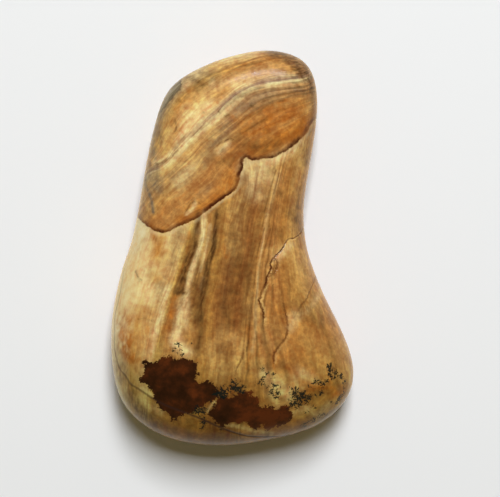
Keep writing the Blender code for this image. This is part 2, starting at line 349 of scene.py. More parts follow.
strokes["ochre"] = [
    (0.45, 0.9, [(-0.65, 20.55), (1, 20.8), (2.65, 20.7), (4.05, 21.1)]),
    (0.6, 0.7, [(-5.1, 18.6), (-5.1, 17.65), (-4.95, 16.65), (-5.2, 15.85)]),
    (0.5, 0.6, [(-6.75, 14.3), (-6.2, 15.4), (-5.8, 16.55)]),
    (0.7, 1.4, [(2.4, 13.2), (4.75, 14.3), (6.7, 15.15)]),
    (0.8, 0.8, [(2.1, 11.25), (3.8, 11.55), (5.45, 12.1), (7.1, 13.05), (8.2, 14.05)]),
    (0.7, 0.7, [(0.2, 10.3), (-0.1, 8.65), (-0.25, 7.55), (-1.5, 6.3)]),
    (0.3, 0.7, [(-1.5, 6.3), (-2.6, 5.3), (-4, 4.5)]),
    (0.35, 1.2, [(3.8, 12.9), (5.6, 12.9), (7.4, 13.5)]),
    (0.5, 0.16, [(-4.55, 15.3), (-4.25, 15.95)]),
    (0.8, 0.2, [(-0.05, 15), (0.25, 14.8)]),
    (0.5, 0.25, [(0.45, 14.3), (1.7, 15), (3.5, 15.7), (5.15, 16.55), (6.7, 16.95)]),
    (0.6, 0.9, [(-12.25, -8.15), (-12.6, -9.95), (-11.85, -11.8), (-10.95, -12.9)]),
    (0.5, 0.6, [(-10.8, -6.85), (-9.85, -7.95), (-9.15, -7.6)]),
    (0.5, 0.5, [(-8.95, 1.15), (-7.7, 0.6), (-9.15, -1.6)]),
    (0.6, 0.3, [(-6.85, -5.4), (-7.15, -6.85), (-7.5, -8.5), (-7.85, -9.95)]),
    (0.6, 0.22, [(-1.05, 0.4), (-0.95, -0.4), (-0.85, -1.05)]),
    (0.6, 0.2, [(1.8, -9.05), (1.9, -10.9), (1.8, -12.5), (1.6, -13.8)]),
    (0.6, 0.14, [(4.7, -12.9), (4.7, -13.8), (5.05, -14.35)]),
    (0.7, 0.16, [(8.15, -13.45), (9.1, -14.25), (10, -14.55), (11.1, -14.6)]),
    (0.5, 0.3, [(6.35, -13.45), (6.6, -14.9), (6.35, -16.15)]),
    (0.85, 0.5, [(8.15, -16.55), (9.45, -16.15), (10.9, -16.15), (12.35, -16.7)]),
    (0.6, 0.5, [(10.2, -17.45), (11.45, -17.1), (12.55, -16)]),
    (0.5, 0.6, [(-12.8, -13.8), (-12.4, -15.25), (-11.7, -16.9)]),
    (0.5, 0.8, [(-9.15, -20.35), (-7.3, -21.1), (-5.5, -21.65), (-3.3, -21.8)]),
    (0.5, 0.6, [(-4.9, 0.9), (-6.05, -4.85), (-6.95, -9.4)]),
    (0.5, 0.8, [(4.8, -7.1), (7.7, -8.5), (10.55, -9.95)]),
    (0.4, 1, [(1.4, 13.7), (3.35, 14.6), (5.4, 15.5)]),
    (0.5, 0.7, [(7.7, 16.9), (8.35, 15.5), (8.35, 14.05)]),
    (0.4, 0.7, [(7.7, 8.3), (7.45, 5.45)]),
    (0.6, 0.5, [(-9.45, 2.25), (-8.55, 0.9), (-7.85, -0.5)]),
    (0.5, 0.5, [(-12.45, -9.4), (-12.55, -11.1), (-12, -12.6)]),
    (0.5, 0.7, [(-11.05, -7.35), (-10.15, -8.05), (-9.45, -9.4), (-9.9, -11.1)]),
    (0.45, 0.5, [(-8.65, 0.9), (-8.65, -0.6), (-9.1, -1.3)]),
    (0.4, 0.5, [(-7.2, -2.9), (-7.4, -3.8), (-9, -3.8)]),
    (0.55, 1, [(-12.55, -7.55), (-11.85, -8.35), (-11.05, -9.5)]),
    (0.6, 0.35, [(-7.05, -6.65), (-7.1, -8.25), (-7.2, -9.75)]),
    (0.5, 0.15, [(4.8, -11.7), (4.75, -12.5), (4.8, -13.3)]),
    (0.5, 0.3, [(6.3, -12.15), (6.5, -13.3), (6.55, -14.3)]),
    (0.45, 0.15, [(3, -11.45), (2.95, -12.15), (3, -12.95)]),
    (0.45, 0.6, [(10.9, -17.85), (9.5, -18.75)]),
    (0.4, 0.6, [(3.35, 21.9), (5.4, 21.45), (6.75, 20.75)]),
    (0.7, 0.8, [(-12.2, -9.95), (-11.85, -11.7), (-11.4, -12.85)]),
    (0.4, 1.1, [(-12.65, -8.05), (-12, -9.95), (-11.3, -11.9)]),
    (0.6, 0.35, [(-6.5, -5.75), (-6.85, -7.35), (-7.2, -8.95), (-7.4, -10.3)]),
    (0.4, 0.7, [(-9.45, 0.3), (-8.9, -1.65), (-8.1, -2.3)]),
    (0.35, 0.5, [(-10.25, 0.9), (-10.7, -0.5)]),
    (0.45, 0.5, [(-9.45, -3.7), (-8.55, -3.55)]),
    (0.4, 0.4, [(-9.9, -6.65), (-9.25, -8.05), (-9.45, -9.4)]),
    (0.85, 0.3, [(6.2, -13.85), (7.35, -14.2), (8.35, -14.3), (9.05, -14.2)]),
    (0.9, 0.5, [(6.9, -15.7), (8, -15.45), (9.15, -15.55), (9.95, -15.9)]),
    (0.6, 0.3, [(11.1, -14.9), (11.45, -16.05)]),
    (0.5, 0.7, [(4.8, 21.6), (6.6, 21.2), (8.2, 20.2), (9, 19)]),
    (0.35, 0.9, [(-7.2, -5.6), (-7.5, -8), (-7.3, -10.6)]),
]
strokes["cream"] = [
    (0.9, 0.3, [(-8.9, 9.75), (-7.85, 10.25), (-6.95, 10.8), (-6.35, 11.35), (-5.85, 11.9),
        (-5.2, 12.5)]),
    (0.7, 0.28, [(-8.2, 9.1), (-7.15, 9.8), (-6.35, 10.65), (-5.5, 11.45)]),
    (0.85, 0.75, [(-5.2, 13.6), (-4.65, 14.45), (-3.65, 15.4), (-2.85, 16.25)]),
    (0.6, 0.4, [(-2.85, 14.15), (-1.6, 15.2), (-0.5, 16.2)]),
    (0.5, 0.24, [(-4.55, 12.5), (-2.85, 13.85), (-1.5, 15), (-0.25, 16.25), (0.85, 17.1),
        (2.1, 17.95), (3.8, 18.35), (5.45, 18.55), (6.85, 18.75)]),
    (0.6, 0.35, [(-2.3, 18.6), (-2.3, 19.25)]),
    (0.6, 0.5, [(0.2, 18.45), (1, 18.55), (2, 18.9)]),
    (0.85, 0.42, [(-1.4, 11.05), (-1, 11.55), (-0.65, 11.9)]),
    (0.75, 0.22, [(-5.3, 3.85), (-4.8, 4.25), (-4.45, 4.8), (-4.25, 5.15)]),
    (0.55, 0.12, [(7.1, 19.15), (8.05, 19.25), (8.7, 19.55), (9, 19.95)]),
    (0.5, 0.22, [(4.6, 19.5), (5.85, 19.55), (6.85, 19.7)]),
    (0.85, 0.55, [(1.35, 9.8), (1.85, 9.35), (2.45, 9.2), (3.5, 9.55), (4.45, 9.9), (5.45, 10.5),
        (6.7, 11.25)]),
    (0.35, 0.9, [(2.1, 8.2), (2.65, 7.1), (2.95, 6)]),
    (0.55, 0.4, [(7.1, 11.25), (7.95, 12.1)]),
    (0.25, 0.25, [(5.35, 8.75), (4.95, 7.4), (4.55, 6), (4.2, 4.6), (3.85, 3.25), (3.7, 1.55)]),
    (0.8, 0.16, [(-3.3, 3.35), (-3.3, 1.85), (-3.6, 0.4), (-4.15, -0.85), (-4.65, -2.05),
        (-5.1, -3.25), (-5.2, -4.5), (-5.6, -5.7), (-6.05, -7.05), (-6.35, -8.35), (-6.6, -9.95)]),
    (0.6, 0.28, [(-7.3, -4.6), (-7.85, -5.95), (-8.15, -7.6), (-8.5, -9.05), (-9.05, -10.5),
        (-9.3, -11.8)]),
    (0.6, 0.6, [(-6.75, -10.15), (-6.05, -11.25), (-5.15, -11.95)]),
    (0.5, 0.35, [(-5.15, -6.15), (-5.3, -7.6), (-5.5, -9.05)]),
    (0.6, 0.9, [(-12.4, -3.4), (-12.6, -5.05), (-12.85, -6.85)]),
    (0.55, 0.8, [(-10.95, -5.95), (-9.7, -5.25), (-8.6, -4.7)]),
    (0.35, 0.14, [(3.6, 1.5), (3.35, 0.05), (3.1, -1.4), (2.9, -2.85), (2.8, -4.7), (2.7, -6.15),
        (2.6, -7.6), (2.6, -9.05), (2.45, -10.5), (2.15, -11.95)]),
    (0.5, 0.6, [(3.8, -14.35), (4.7, -15.25), (5.6, -16), (6.35, -16.7)]),
    (0.5, 0.5, [(6.7, -9.05), (7.45, -7.6), (6.7, -7.95)]),
    (0.6, 0.4, [(6.9, -18.9), (8.35, -18.35), (9.65, -19.1), (10.9, -18)]),
    (0.75, 0.22, [(-10.5, -16), (-9.8, -16.45), (-9.15, -16.9)]),
    (0.6, 0.5, [(-10.8, -17.25), (-9.3, -18.35), (-8.4, -18.7)]),
    (0.75, 0.16, [(-2.85, -18.65), (-2.5, -18.1), (-2.05, -17.6)]),
    (0.55, 0.25, [(-0.75, -20.25), (0.9, -20.45), (2.35, -20.9), (4.35, -21.25)]),
    (0.85, 0.2, [(-3.25, 4.1), (-3.35, 2.6), (-3.5, 1.1), (-3.9, -0.25), (-4.45, -1.65),
        (-4.85, -3.1), (-5.2, -4.35), (-5.45, -5.4), (-5.9, -6.65), (-6.25, -8.05), (-6.6, -9.65),
        (-6.85, -11.1)]),
    (0.5, 0.2, [(-2.6, 2.6), (-2.85, 0.9), (-3.3, -0.95), (-3.75, -2.55)]),
    (0.5, 0.5, [(3.35, -14.55), (4.5, -15.7), (5.85, -16.5), (6.75, -17.3)]),
    (0.5, 0.7, [(-11.75, -0.25), (-12.2, -2.3), (-12.65, -4.85)]),
    (0.5, 0.6, [(-9.7, -1.65), (-9.9, -3.7), (-9.45, -5.5)]),
    (0.5, 0.3, [(-7.75, -4.85), (-8.1, -6.55), (-8.55, -8.25), (-9.1, -9.95)]),
    (0.8, 0.6, [(-5, 13.9), (-4.45, 14.95), (-3.65, 15.85)]),
    (0.6, 0.5, [(-6.25, 12.2), (-5.6, 13.1)]),
    (0.5, 0.7, [(-10.6, 0.2), (-11.05, -1.65), (-11.75, -3.7)]),
    (0.4, 0.8, [(-12, -5.95), (-11.5, -7.1)]),
    (0.6, 0.8, [(-11.75, -0.5), (-11.65, -2.3), (-11.05, -4.85)]),
    (0.6, 0.8, [(-12.45, -4.25), (-12.55, -5.65), (-12.9, -6.65)]),
    (0.6, 0.28, [(-7.65, -4.7), (-8.05, -6.3), (-8.45, -8.25), (-9, -9.75)]),
    (0.6, 0.26, [(-5.7, -5.95), (-6.05, -7.7), (-6.4, -9.05), (-6.6, -10.1)]),
    (0.4, 0.7, [(8, -14.3), (9.05, -15)]),
    (0.4, 0.7, [(5.85, -15.9), (6.55, -17.05)]),
    (0.55, 0.9, [(1.75, 9.25), (3.1, 8.75), (4.25, 8.1)]),
    (0.75, 0.4, [(5, -1.15), (5.6, -0.7), (6.1, -0.1), (6.6, 0.35)]),
    (0.4, 0.3, [(10.55, -4.15), (9.5, -5.95), (8.35, -7.35)]),
    (0.4, 0.6, [(4.25, -16.5), (4.95, -17.4), (5.4, -18.1)]),
    (0.4, 0.7, [(-4.9, 9.1), (-5.7, 8.2), (-6.25, 7.5)]),
    (0.3, 0.8, [(0.95, 9.1), (1.85, 8.2), (1.95, 6.6)]),
    (0.35, 0.7, [(-5, 15.95), (-5.45, 14.6), (-5.6, 13)]),
    (0.35, 0.6, [(-6.7, 2.25), (-7.2, 1.25), (-7.5, 0.2)]),
    (0.5, 0.8, [(-11.85, 0.65), (-12.3, -0.95), (-12.65, -2.75)]),
    (0.5, 0.6, [(-13.25, -4.15), (-13.7, -5.95), (-13.8, -7.8)]),
    (0.75, 0.5, [(-5.7, -6.2), (-6.05, -7.7), (-6.25, -9.15), (-6.5, -10.75)]),
    (0.8, 0.28, [(-3.3, 2.95), (-3.6, 0.9), (-4.15, -1.3), (-4.8, -3.1), (-5.1, -4.35),
        (-5.35, -5.75)]),
    (0.4, 0.5, [(-6.5, -11), (-6.05, -11.45), (-5.1, -11.9)]),
    (0.4, 0.3, [(-7.5, -4.6), (-7.85, -6.2), (-8.1, -7.8), (-8.65, -9.4)]),
    (0.6, 0.9, [(-10.85, -2.75), (-10.25, -4.25), (-9.45, -5.75)]),
    (0.6, 0.6, [(-12.65, -0.25), (-12.45, -2.55), (-12.8, -4.85)]),
    (0.55, 0.5, [(-1, 21.45), (0.8, 22.05), (2.65, 22.35)]),
    (0.5, 0.6, [(-5.6, 18.5), (-4.65, 19.5), (-3.5, 20.3)]),
    (0.4, 0.9, [(-11.75, -1.65), (-10.05, -1.95), (-8.8, -2.3)]),
    (0.35, 0.7, [(7.2, -14.45), (7.45, -16.05)]),
    # this stroke is partly a pale band and partly a painted highlight, where the window's soft reflection
    # lies on the cap
    (0.5, 0.8, [(-5.1, 14.35), (-4.1, 15.4)]),
    (0.4, 0.7, [(-11.4, -1.8), (-11.7, -3.2)]),
    (0.5, 0.4, [(-0.5, 21.8), (1.2, 22.35), (3.2, 22.6)]),
]
strokes["umber"] = [
    (0.55, 0.16, [(-8.8, 9.65), (-8.35, 9.55), (-7.7, 10), (-6.9, 10.5), (-6.25, 11.15)]),
    (0.45, 0.2, [(-6.6, 11.4), (-6.05, 12.1), (-5.65, 12.65)]),
    (0.45, 0.17, [(-4.55, 12.85), (-3.4, 13.75), (-2.3, 14.7), (-1.5, 15.4), (-0.25, 16.55),
        (1, 17.5), (2, 18), (3.5, 18.4)]),
    (0.42, 0.15, [(-1.6, 15.75), (-0.4, 16.8), (0.75, 17.65), (1.7, 18.15), (2.65, 18.4)]),
    (0.5, 0.14, [(1, 17.2), (2.1, 17.65), (3.5, 18), (4.75, 18.2), (6.25, 18.3), (7.65, 18.4)]),
    (0.5, 0.14, [(3.25, 16.65), (4.2, 17.1), (5.15, 17.35), (6.7, 17.7), (7.95, 17.85),
        (8.9, 18.05)]),
    (0.6, 0.16, [(0.6, 14.15), (1.55, 14.85), (2.65, 15.4), (3.8, 16.2), (4.75, 16.65),
        (5.85, 16.85)]),
    (0.5, 0.16, [(0.85, 13.05), (1.7, 13.5), (2.65, 14.1), (3.5, 14.6)]),
    (0.8, 0.14, [(2.05, 16.3), (2.25, 16.15)]),
    (0.7, 0.16, [(-0.85, 15.05), (-0.45, 15.2)]),
    (0.85, 0.09, [(-3.4, 15.5), (-3.25, 15.4)]),
    (0.85, 0.1, [(-1.65, 15.6), (-1.5, 15.45)]),
    (0.8, 0.09, [(-1.7, 11.6), (-1.5, 12), (-1, 12.15), (-0.3, 12.5), (0.1, 12.3)]),
    (0.8, 0.08, [(-5.45, 4), (-5.1, 4.55), (-4.75, 5.1), (-4.25, 5.3), (-3.7, 5.1)]),
    (0.5, 0.3, [(-1.5, 9.6), (-0.85, 10)]),
    (0.5, 0.25, [(3.7, 13.4), (4, 13.25)]),
    (0.6, 0.25, [(-5.1, 19.45), (-4.25, 19.15), (-3.4, 18.45), (-4, 18.05)]),
    (0.5, 0.3, [(-2.3, 19.45), (-2.85, 19.85), (-3.7, 20)]),
    (0.5, 0.14, [(-6.2, 16.8), (-5.65, 16.65), (-5.5, 17.1)]),
    (0.5, 0.14, [(-6.6, 14.6), (-6.45, 13.75), (-6.6, 13.2)]),
    (0.4, 0.3, [(-8.4, 12.95), (-8.25, 12.25), (-8.95, 11.25)]),
    (0.6, 0.1, [(-9.5, 9.9), (-9.4, 9.35)]),
    (0.7, 0.07, [(4.95, 8.9), (4.55, 7.55), (4.2, 6.3), (3.8, 4.75), (3.55, 3.5), (3.4, 2.4)]),
    (0.5, 0.07, [(5.3, 8.5), (4.9, 7.1), (4.6, 6), (4.35, 4.75), (4.2, 3.5), (4.15, 2.4)]),
    (0.5, 0.4, [(8.2, 11.25), (8.35, 10.45), (8.2, 9.45)]),
    (0.6, 0.25, [(5.3, 6.3), (5.7, 6.05)]),
    (0.6, 0.18, [(7.4, 4.75), (7.5, 4.5)]),
    (0.5, 0.1, [(6.9, 18.85), (7.95, 18.95), (8.75, 19.3), (9.05, 19.7)]),
    (0.85, 0.24, [(-3.85, 4.05), (-4, 2.6), (-4.2, 1.5), (-4.5, 0.25), (-4.95, -1.05), (-5.3, -2.05),
        (-5.65, -3.05)]),
    (0.85, 0.34, [(-5.6, -3.4), (-5.85, -4.3), (-6.4, -4.8)]),
    (0.8, 0.22, [(-1.95, 3.35), (-2.05, 1.5), (-2.25, 0.4), (-2.45, -0.7), (-2.75, -1.75)]),
    (0.85, 0.2, [(-2.8, -1.75), (-3, -3.05), (-3.35, -4.15), (-3.6, -5.25), (-3.65, -5.95)]),
    (0.6, 0.22, [(-3.7, -5.95), (-3.85, -7.05), (-3.65, -8.15), (-3.55, -9.25), (-3.85, -10.7),
        (-4.2, -11.8)]),
    (0.6, 0.07, [(3.6, 2.25), (3.25, 1.05), (2.9, -0.3), (2.65, -1.95), (2.55, -3.4), (2.45, -4.7),
        (2.25, -6.15), (2.1, -7.6), (1.95, -9.05), (1.85, -10.5), (1.5, -11.8)]),
    (0.5, 0.07, [(4.35, 2.25), (3.85, 0.6), (3.5, -0.85), (3.35, -2.5), (3.25, -3.6)]),
    (0.6, 0.1, [(3.35, -6.5), (3.55, -7.8), (3.35, -9.25), (3.25, -10.9)]),
    (0.45, 0.1, [(2.6, -10.15), (2.25, -11.6), (1.9, -12.9), (1.8, -14.15)]),
    (0.7, 0.08, [(1.05, -12.5), (0.8, -13.15), (0.5, -13.7)]),
    (0.5, 0.1, [(4.8, -11.8), (4.7, -12.7), (4.85, -13.6)]),
    (0.5, 0.35, [(-0.4, -4.7), (0.5, -5.25)]),
    (0.4, 0.6, [(-1.1, -6.15), (-0.75, -7.6), (-0.05, -8.7)]),
    (0.4, 0.8, [(-0.05, 1.5), (0.5, -0.7), (0.9, -2.85)]),
    (0.3, 0.3, [(2.35, 0.8), (2.15, -1.05), (1.9, -3.4), (1.6, -5.6)]),
    (0.5, 0.08, [(-11.15, -2.7), (-10.85, -3.3), (-10.4, -3.7)]),
    (0.5, 0.07, [(-10.8, -8.15), (-10.05, -8.05), (-9.3, -8.35)]),
    (0.5, 0.1, [(-8.75, 1.05), (-8.7, 0.8)]),
    (0.5, 0.6, [(-12.6, -13.45), (-11.85, -14.9), (-10.4, -19.8), (-8.75, -20.55)]),
    (0.35, 0.4, [(8.9, -7.25), (9.45, -8.35), (8.9, -6.5)]),
    (0.55, 0.5, [(4.5, 22.05), (5.95, 21.8), (7.45, 21.1), (8.5, 20.1), (9.05, 18.7)]),
    (0.5, 0.22, [(6.3, 21.45), (7.2, 21), (7.9, 20.3), (8.25, 19.5)]),
    (0.5, 0.16, [(6.75, 20.55), (7.7, 19.75), (8.35, 19.15), (8.95, 18.95)]),
    (0.4, 0.5, [(9.05, 18.05), (9.15, 16.3), (9.05, 14.6)]),
    (0.35, 0.6, [(-4, 18.5), (-2.85, 18.7), (-1.9, 19.15)]),
    (0.35, 0.9, [(0.8, 12.55), (2.2, 11.65), (3.55, 11.4)]),
    (0.5, 0.35, [(-10.6, 9.1), (-10.25, 7.75), (-10.85, 5.45)]),
    (0.4, 0.5, [(7.7, 6.6), (7.7, 4.3), (7.8, 2.25)]),
    (0.35, 0.6, [(-6.25, 1.8), (-6.7, -0.25), (-6.95, -1.65)]),
    (0.4, 0.5, [(-4.9, 0.9), (-5.6, -1.65), (-6.05, -4.25)]),
    (0.35, 0.5, [(-5.8, -5.95), (-6.5, -8.05), (-7.2, -9.95)]),
    (0.4, 0.4, [(-3.75, -1.65), (-4.1, -3.7), (-4.3, -5.95), (-4.45, -8.05)]),
    (0.3, 0.9, [(5.95, -6.55), (7.7, -7.7), (9.75, -8.85)]),
    # these four strokes along the rim round the foot are partly its own brown and partly painted shade,
    # where that edge turns away from the light
    (0.3, 0.7, [(-13.7, -10.55), (-13.45, -12.85), (-12.9, -14.9)]),
    (0.45, 0.7, [(-12, -17.15), (-10.6, -18.75), (-8.9, -20.15), (-6.95, -21.05)]),
    (0.35, 0.6, [(-4.9, -21.75), (-2.05, -22.1), (0.8, -22.1)]),
    (0.35, 0.5, [(3.35, -21.65), (5.95, -21.3), (8.25, -20.5)]),
    (0.8, 0.28, [(-4, 3.85), (-4.15, 2.25), (-4.45, 0.3), (-4.95, -1.15), (-5.35, -2.55),
        (-5.65, -3.9)]),
    (0.7, 0.34, [(-5.6, -4.15), (-6.05, -4.95), (-6.5, -5.3)]),
    (0.75, 0.26, [(-1.8, 4.3), (-2.05, 2.5), (-2.15, 0.9), (-2.45, -0.5), (-2.85, -1.65)]),
    (0.8, 0.24, [(-2.9, -1.85), (-3.05, -3.25), (-3.3, -4.6), (-3.6, -5.95)]),
    (0.6, 0.2, [(-3.65, -5.95), (-3.65, -7.35), (-3.5, -8.85), (-3.85, -10.55)]),
    (0.6, 0.3, [(-1.25, 11.15), (-1.25, 11.05)]),
    (0.8, 0.4, [(4.95, 22.15), (6.55, 21.7), (7.8, 20.9), (8.7, 19.85)]),
    (0.8, 0.14, [(5.85, 21.35), (7, 20.75), (7.7, 20.1), (8, 19.3)]),
    (0.7, 0.14, [(7.2, 21), (8.15, 20.1), (8.7, 19.15), (9.05, 18.25)]),
    (0.6, 0.25, [(8.95, 18.7), (9.15, 17.35), (9.3, 15.95)]),
    (0.6, 0.3, [(7.35, 20.3), (7.7, 19.95)]),
    (0.5, 0.5, [(6.55, 3.85), (7.45, 2.95), (7.9, 2.05)]),
    (0.45, 0.7, [(-4.2, -4.35), (-4.2, -6.55), (-4.45, -8.5)]),
    (0.35, 0.8, [(2.65, -13.05), (3.8, -13.75), (4.95, -13.5)]),
    (0.4, 0.5, [(5.3, -7.1), (5.5, -8.85), (5.4, -10.55)]),
    (0.35, 0.8, [(6.55, -4.85), (7.7, -5.95), (8.35, -7.35)]),
    (0.3, 0.7, [(9.5, -8.05), (10.65, -9.4), (11.55, -11.1)]),
    (0.4, 0.6, [(7.7, -17.15), (9.75, -16.5), (11.35, -15.7)]),
    (0.7, 0.2, [(-3.85, 3.65), (-4.05, 2.25), (-4.3, 0.45), (-4.85, -1.05)]),
    (0.7, 0.2, [(-1.85, 3.85), (-2.1, 1.8), (-2.2, 0.2)]),
    (0.5, 0.6, [(-11.5, -17.15), (-10.4, -18.55), (-9.25, -19.45)]),
    (0.3, 0.15, [(-11.05, -2.65), (-10.7, -3.8)]),
    (0.6, 0.48, [(-4.1, 1.1), (-4.4, -0.05), (-5.05, -0.95), (-5.4, -1.95), (-5.7, -3.1),
        (-6.05, -4.25), (-6.25, -4.95)]),
    (0.6, 0.3, [(-6.6, -4.95), (-6.05, -5.05), (-5.6, -5.05)]),
    (0.65, 0.42, [(-2.05, 1.1), (-2.25, -0.35), (-2.9, -1.95), (-3.05, -3.45), (-3.45, -5.15),
        (-3.85, -6.65), (-3.8, -7.7), (-3.65, -8.7)]),
    (0.35, 0.4, [(-3.65, -8.7), (-3.75, -10.3), (-3.85, -11.9)]),
    (0.22, 0.8, [(-9.45, -2.75), (-8.65, -3.55), (-8, -4.35)]),
    (0.3, 0.9, [(1.6, -2.3), (1.5, -5.5), (1.75, -8.7)]),
    (0.35, 0.5, [(4.35, 2.35), (5.05, 1.8), (5.5, 1.25)]),
    (0.3, 1, [(-12.1, -11.7), (-11.05, -13.75), (-10.25, -16.05)]),
    (0.3, 0.8, [(0.8, 11.65), (2.9, 11.4), (4.95, 11.95)]),
    (0.3, 0.6, [(-4.2, 18.7), (-3.3, 19.15), (-2.5, 19.5)]),
    (0.3, 0.6, [(-2.15, 10.25), (-1, 10.05), (-0.1, 10.7)]),
    (0.75, 0.3, [(-3.9, 2.05), (-4.5, -0.05), (-5.25, -2.3), (-5.75, -4.35)]),
    (0.7, 0.35, [(-6.25, -4.5), (-5.6, -5.05)]),
    (0.75, 0.32, [(-2.2, 0.9), (-2.3, -0.7)]),
    (0.75, 0.38, [(-3, -3), (-3.25, -4.6)]),
    (0.5, 0.22, [(-3.5, -5.75), (-3.45, -7.35), (-3.4, -8.5)]),
    (0.4, 0.6, [(5.15, 21.7), (6.75, 21.25), (8.15, 20.3)]),
    (0.3, 0.8, [(1.75, 11.15), (3.35, 11.3), (5.15, 11.5), (7, 12.1)]),
    (0.3, 0.6, [(-0.45, 9.55), (0.35, 10.05)]),
    (0.3, 0.8, [(-8.3, -4.15), (-8.3, -5.95), (-8.55, -7.8), (-8.3, -9.4)]),
    (0.35, 0.6, [(8.8, -19.45), (10.65, -18.1)]),
    (0.3, 0.8, [(-13.25, -12.25), (-12.9, -14.2), (-12, -16.05)]),
    (0.4, 0.5, [(-0.1, -19.8), (1.95, -19.9), (3.8, -19.7)]),
    (0.25, 0.7, [(-0.3, 19.9), (2.5, 20.2), (5, 20.2), (7.5, 19.4)]),
    (0.35, 0.5, [(0.2, 9.9), (0.7, 9.3)]),
    (0.25, 0.8, [(3, 9.3), (4.5, 8.9)]),
    (0.3, 0.7, [(-3.2, 1), (-4, -1.5), (-4.3, -2.6)]),
]
strokes["manganese"] = [
    (0.9, 0.16, [(-1.6, -16.6), (-1, -16.35), (-0.55, -16.6)]),
    (0.8, 0.2, [(-0.2, -16.5), (0.35, -15.7), (0.8, -16.5), (1.3, -16.5)]),
    (0.7, 0.12, [(0.3, -15), (0.35, -15.8)]),
    (0.9, 0.3, [(-4.2, -18.65), (-3.75, -18.45), (-3.3, -18.75)]),
    (0.7, 0.2, [(-3.85, -19.25), (-3.2, -19.7), (-3.4, -20.5)]),
    (0.9, 0.3, [(6.65, -17.5), (7.35, -17.05), (7.8, -17.65), (7.2, -18.3)]),
    (0.8, 0.3, [(8, -17.15), (8.8, -17.15), (8.35, -17.75)]),
    (0.7, 0.2, [(9.15, -15.55), (9.75, -15.35), (10.4, -15.45)]),
    (0.8, 0.22, [(10.9, -14.45), (11.45, -14.9), (12, -14.65)]),
    (0.7, 0.2, [(11.1, -13.95), (11.2, -14.55)]),
    (0.8, 0.16, [(12.7, -16.5), (12.35, -17.15), (11.8, -17.85)]),
    (0.8, 0.2, [(12.25, -16.95), (11.9, -17.65)]),
    (0.7, 0.22, [(7.9, -20.35), (8.6, -19.9), (9.5, -19.45), (10.4, -19)]),
    (0.6, 0.14, [(12.6, -15.1), (12.7, -16.05)]),
]

# Sprays of manganese dendrites: each has its middle, its reach in mm, the way that it opens in degrees
# and how wide it opens
sprays = [
    (-6.25, -11, 0.32, 90, 360), (-6.8, -11.8, 0.22, 90, 360), (-5.75, -12.2, 0.24, 90, 360),
    (-4.7, -10.9, 0.12, 90, 360), (-1.25, -16.6, 0.75, 90, 360), (-1.75, -16.75, 0.5, 200, 200),
    (0.4, -16.25, 1, 90, 150), (0.3, -15.6, 0.6, 90, 120), (0.9, -16.5, 0.55, 40, 160),
    (-3.75, -18.6, 0.75, 90, 360), (-4.3, -18.75, 0.4, 180, 200), (-3.3, -18.5, 0.5, 20, 200),
    (-3.3, -19.9, 0.5, 270, 220), (-3.55, -20.6, 0.35, 270, 200), (-1.35, -20.75, 0.3, 270, 180),
    (3.4, -13.9, 0.3, 90, 180), (3.85, -14.35, 0.22, 0, 360), (4.7, -14.45, 0.22, 0, 360),
    (3.4, -15, 0.28, 90, 360), (2.95, -15.5, 0.2, 90, 360), (3.65, -15.65, 0.25, 200, 200),
    (4.75, -15.75, 0.34, 90, 300), (4.4, -16.55, 0.34, 90, 300), (5.1, -16.6, 0.3, 0, 240),
    (4.85, -17.15, 0.3, 300, 240), (7.1, -16.6, 0.9, 110, 200), (7.5, -17.25, 0.85, 30, 200),
    (6.95, -17.9, 0.7, 220, 260), (7.9, -17, 0.7, 60, 200), (8.75, -17.15, 0.5, 45, 300),
    (9.5, -15.35, 0.5, 90, 260), (10.35, -15.6, 0.45, 100, 200), (10.7, -15.25, 0.4, 60, 200),
    (10.05, -16.55, 0.4, 300, 260), (11.15, -13.95, 0.95, 95, 130), (11.7, -14.4, 0.8, 60, 110),
    (12.3, -14.9, 0.7, 70, 130), (12.8, -15.3, 0.5, 80, 160), (12.7, -16.1, 0.4, 100, 220),
    (12.25, -17.2, 0.75, 60, 60), (11.9, -17.75, 0.6, 230, 80), (11.2, -17.6, 0.3, 90, 360),
    (9.55, -18.3, 0.35, 200, 200), (10.75, -19.1, 0.6, 200, 120), (9.3, -19.75, 0.65, 200, 140),
    (8.35, -20.4, 0.5, 190, 120), (11.9, -18.4, 0.35, 240, 200), (8.3, -18.9, 0.2, 90, 360),
]

# Small chips along the cracks: middle and radius in mm
chips = [(4.7, -1.65, 0.16), (3.85, -4.4, 0.14), (8.3, -6.35, 0.15), (11.2, -7.85, 0.18)]

# The stone's shape, and how its pattern goes on where the camera can't see it, in mm
stone = {
    "mergeWithin": 0.01,
    "quadAngles": (40, 60),  # degrees of bend and of skew up to which two triangles make a quad
    "subdivisions": 2,
    "inset": 0.003,  # of the polished surface from the sides of the CAD box
    "thinStroke": 0.25,  # half-width below which a stroke needs a finer mesh
    "fineWithin": (0.36, 0.12),  # of the fine marks, for the first and the second halving of the mesh
    "grooves": {"crack": (0.09, 0.11), "seam": (0.05, 0.12)},  # depth and half-width
    "chipDepth": 0.07,
    "leastPress": 0.001,  # depth below which a point stays where it is
    "girdle": 5.1,  # height below which the pattern no longer shows from above
    "dip": (0.9, -0.6),  # how far the bedding shifts for each mm below the girdle
    "blotchDepth": 0.8,  # how fast the blotches narrow there
    "markDepth": 2.5,  # below the girdle, where the cracks, the seam and the dendrites have ended
    "coreFade": 1.5,  # above the girdle, within which the dendrites' solid cores fade out
    "leastFacing": 0.1,  # share of its width that a line keeps on the steepest sides
    "leastSlope": 0.001,  # so that a level place has a way outward too
    "sprayFlank": (60, 0.4),  # degrees past a spray's opening, over which its reach falls to this share
    "sprayEnd": 3.0,  # times its reach, where a spray has surely ended
    "far": 9.0,  # gap of a place that no mark is near
}


def seenFromAbove(places):
    # where the camera sees each place of the stone, on the resting plane
    over = np.array(view["over"])
    return over + (places[:, :2] - over) * view["height"] / (view["height"] - places[:, 2:])


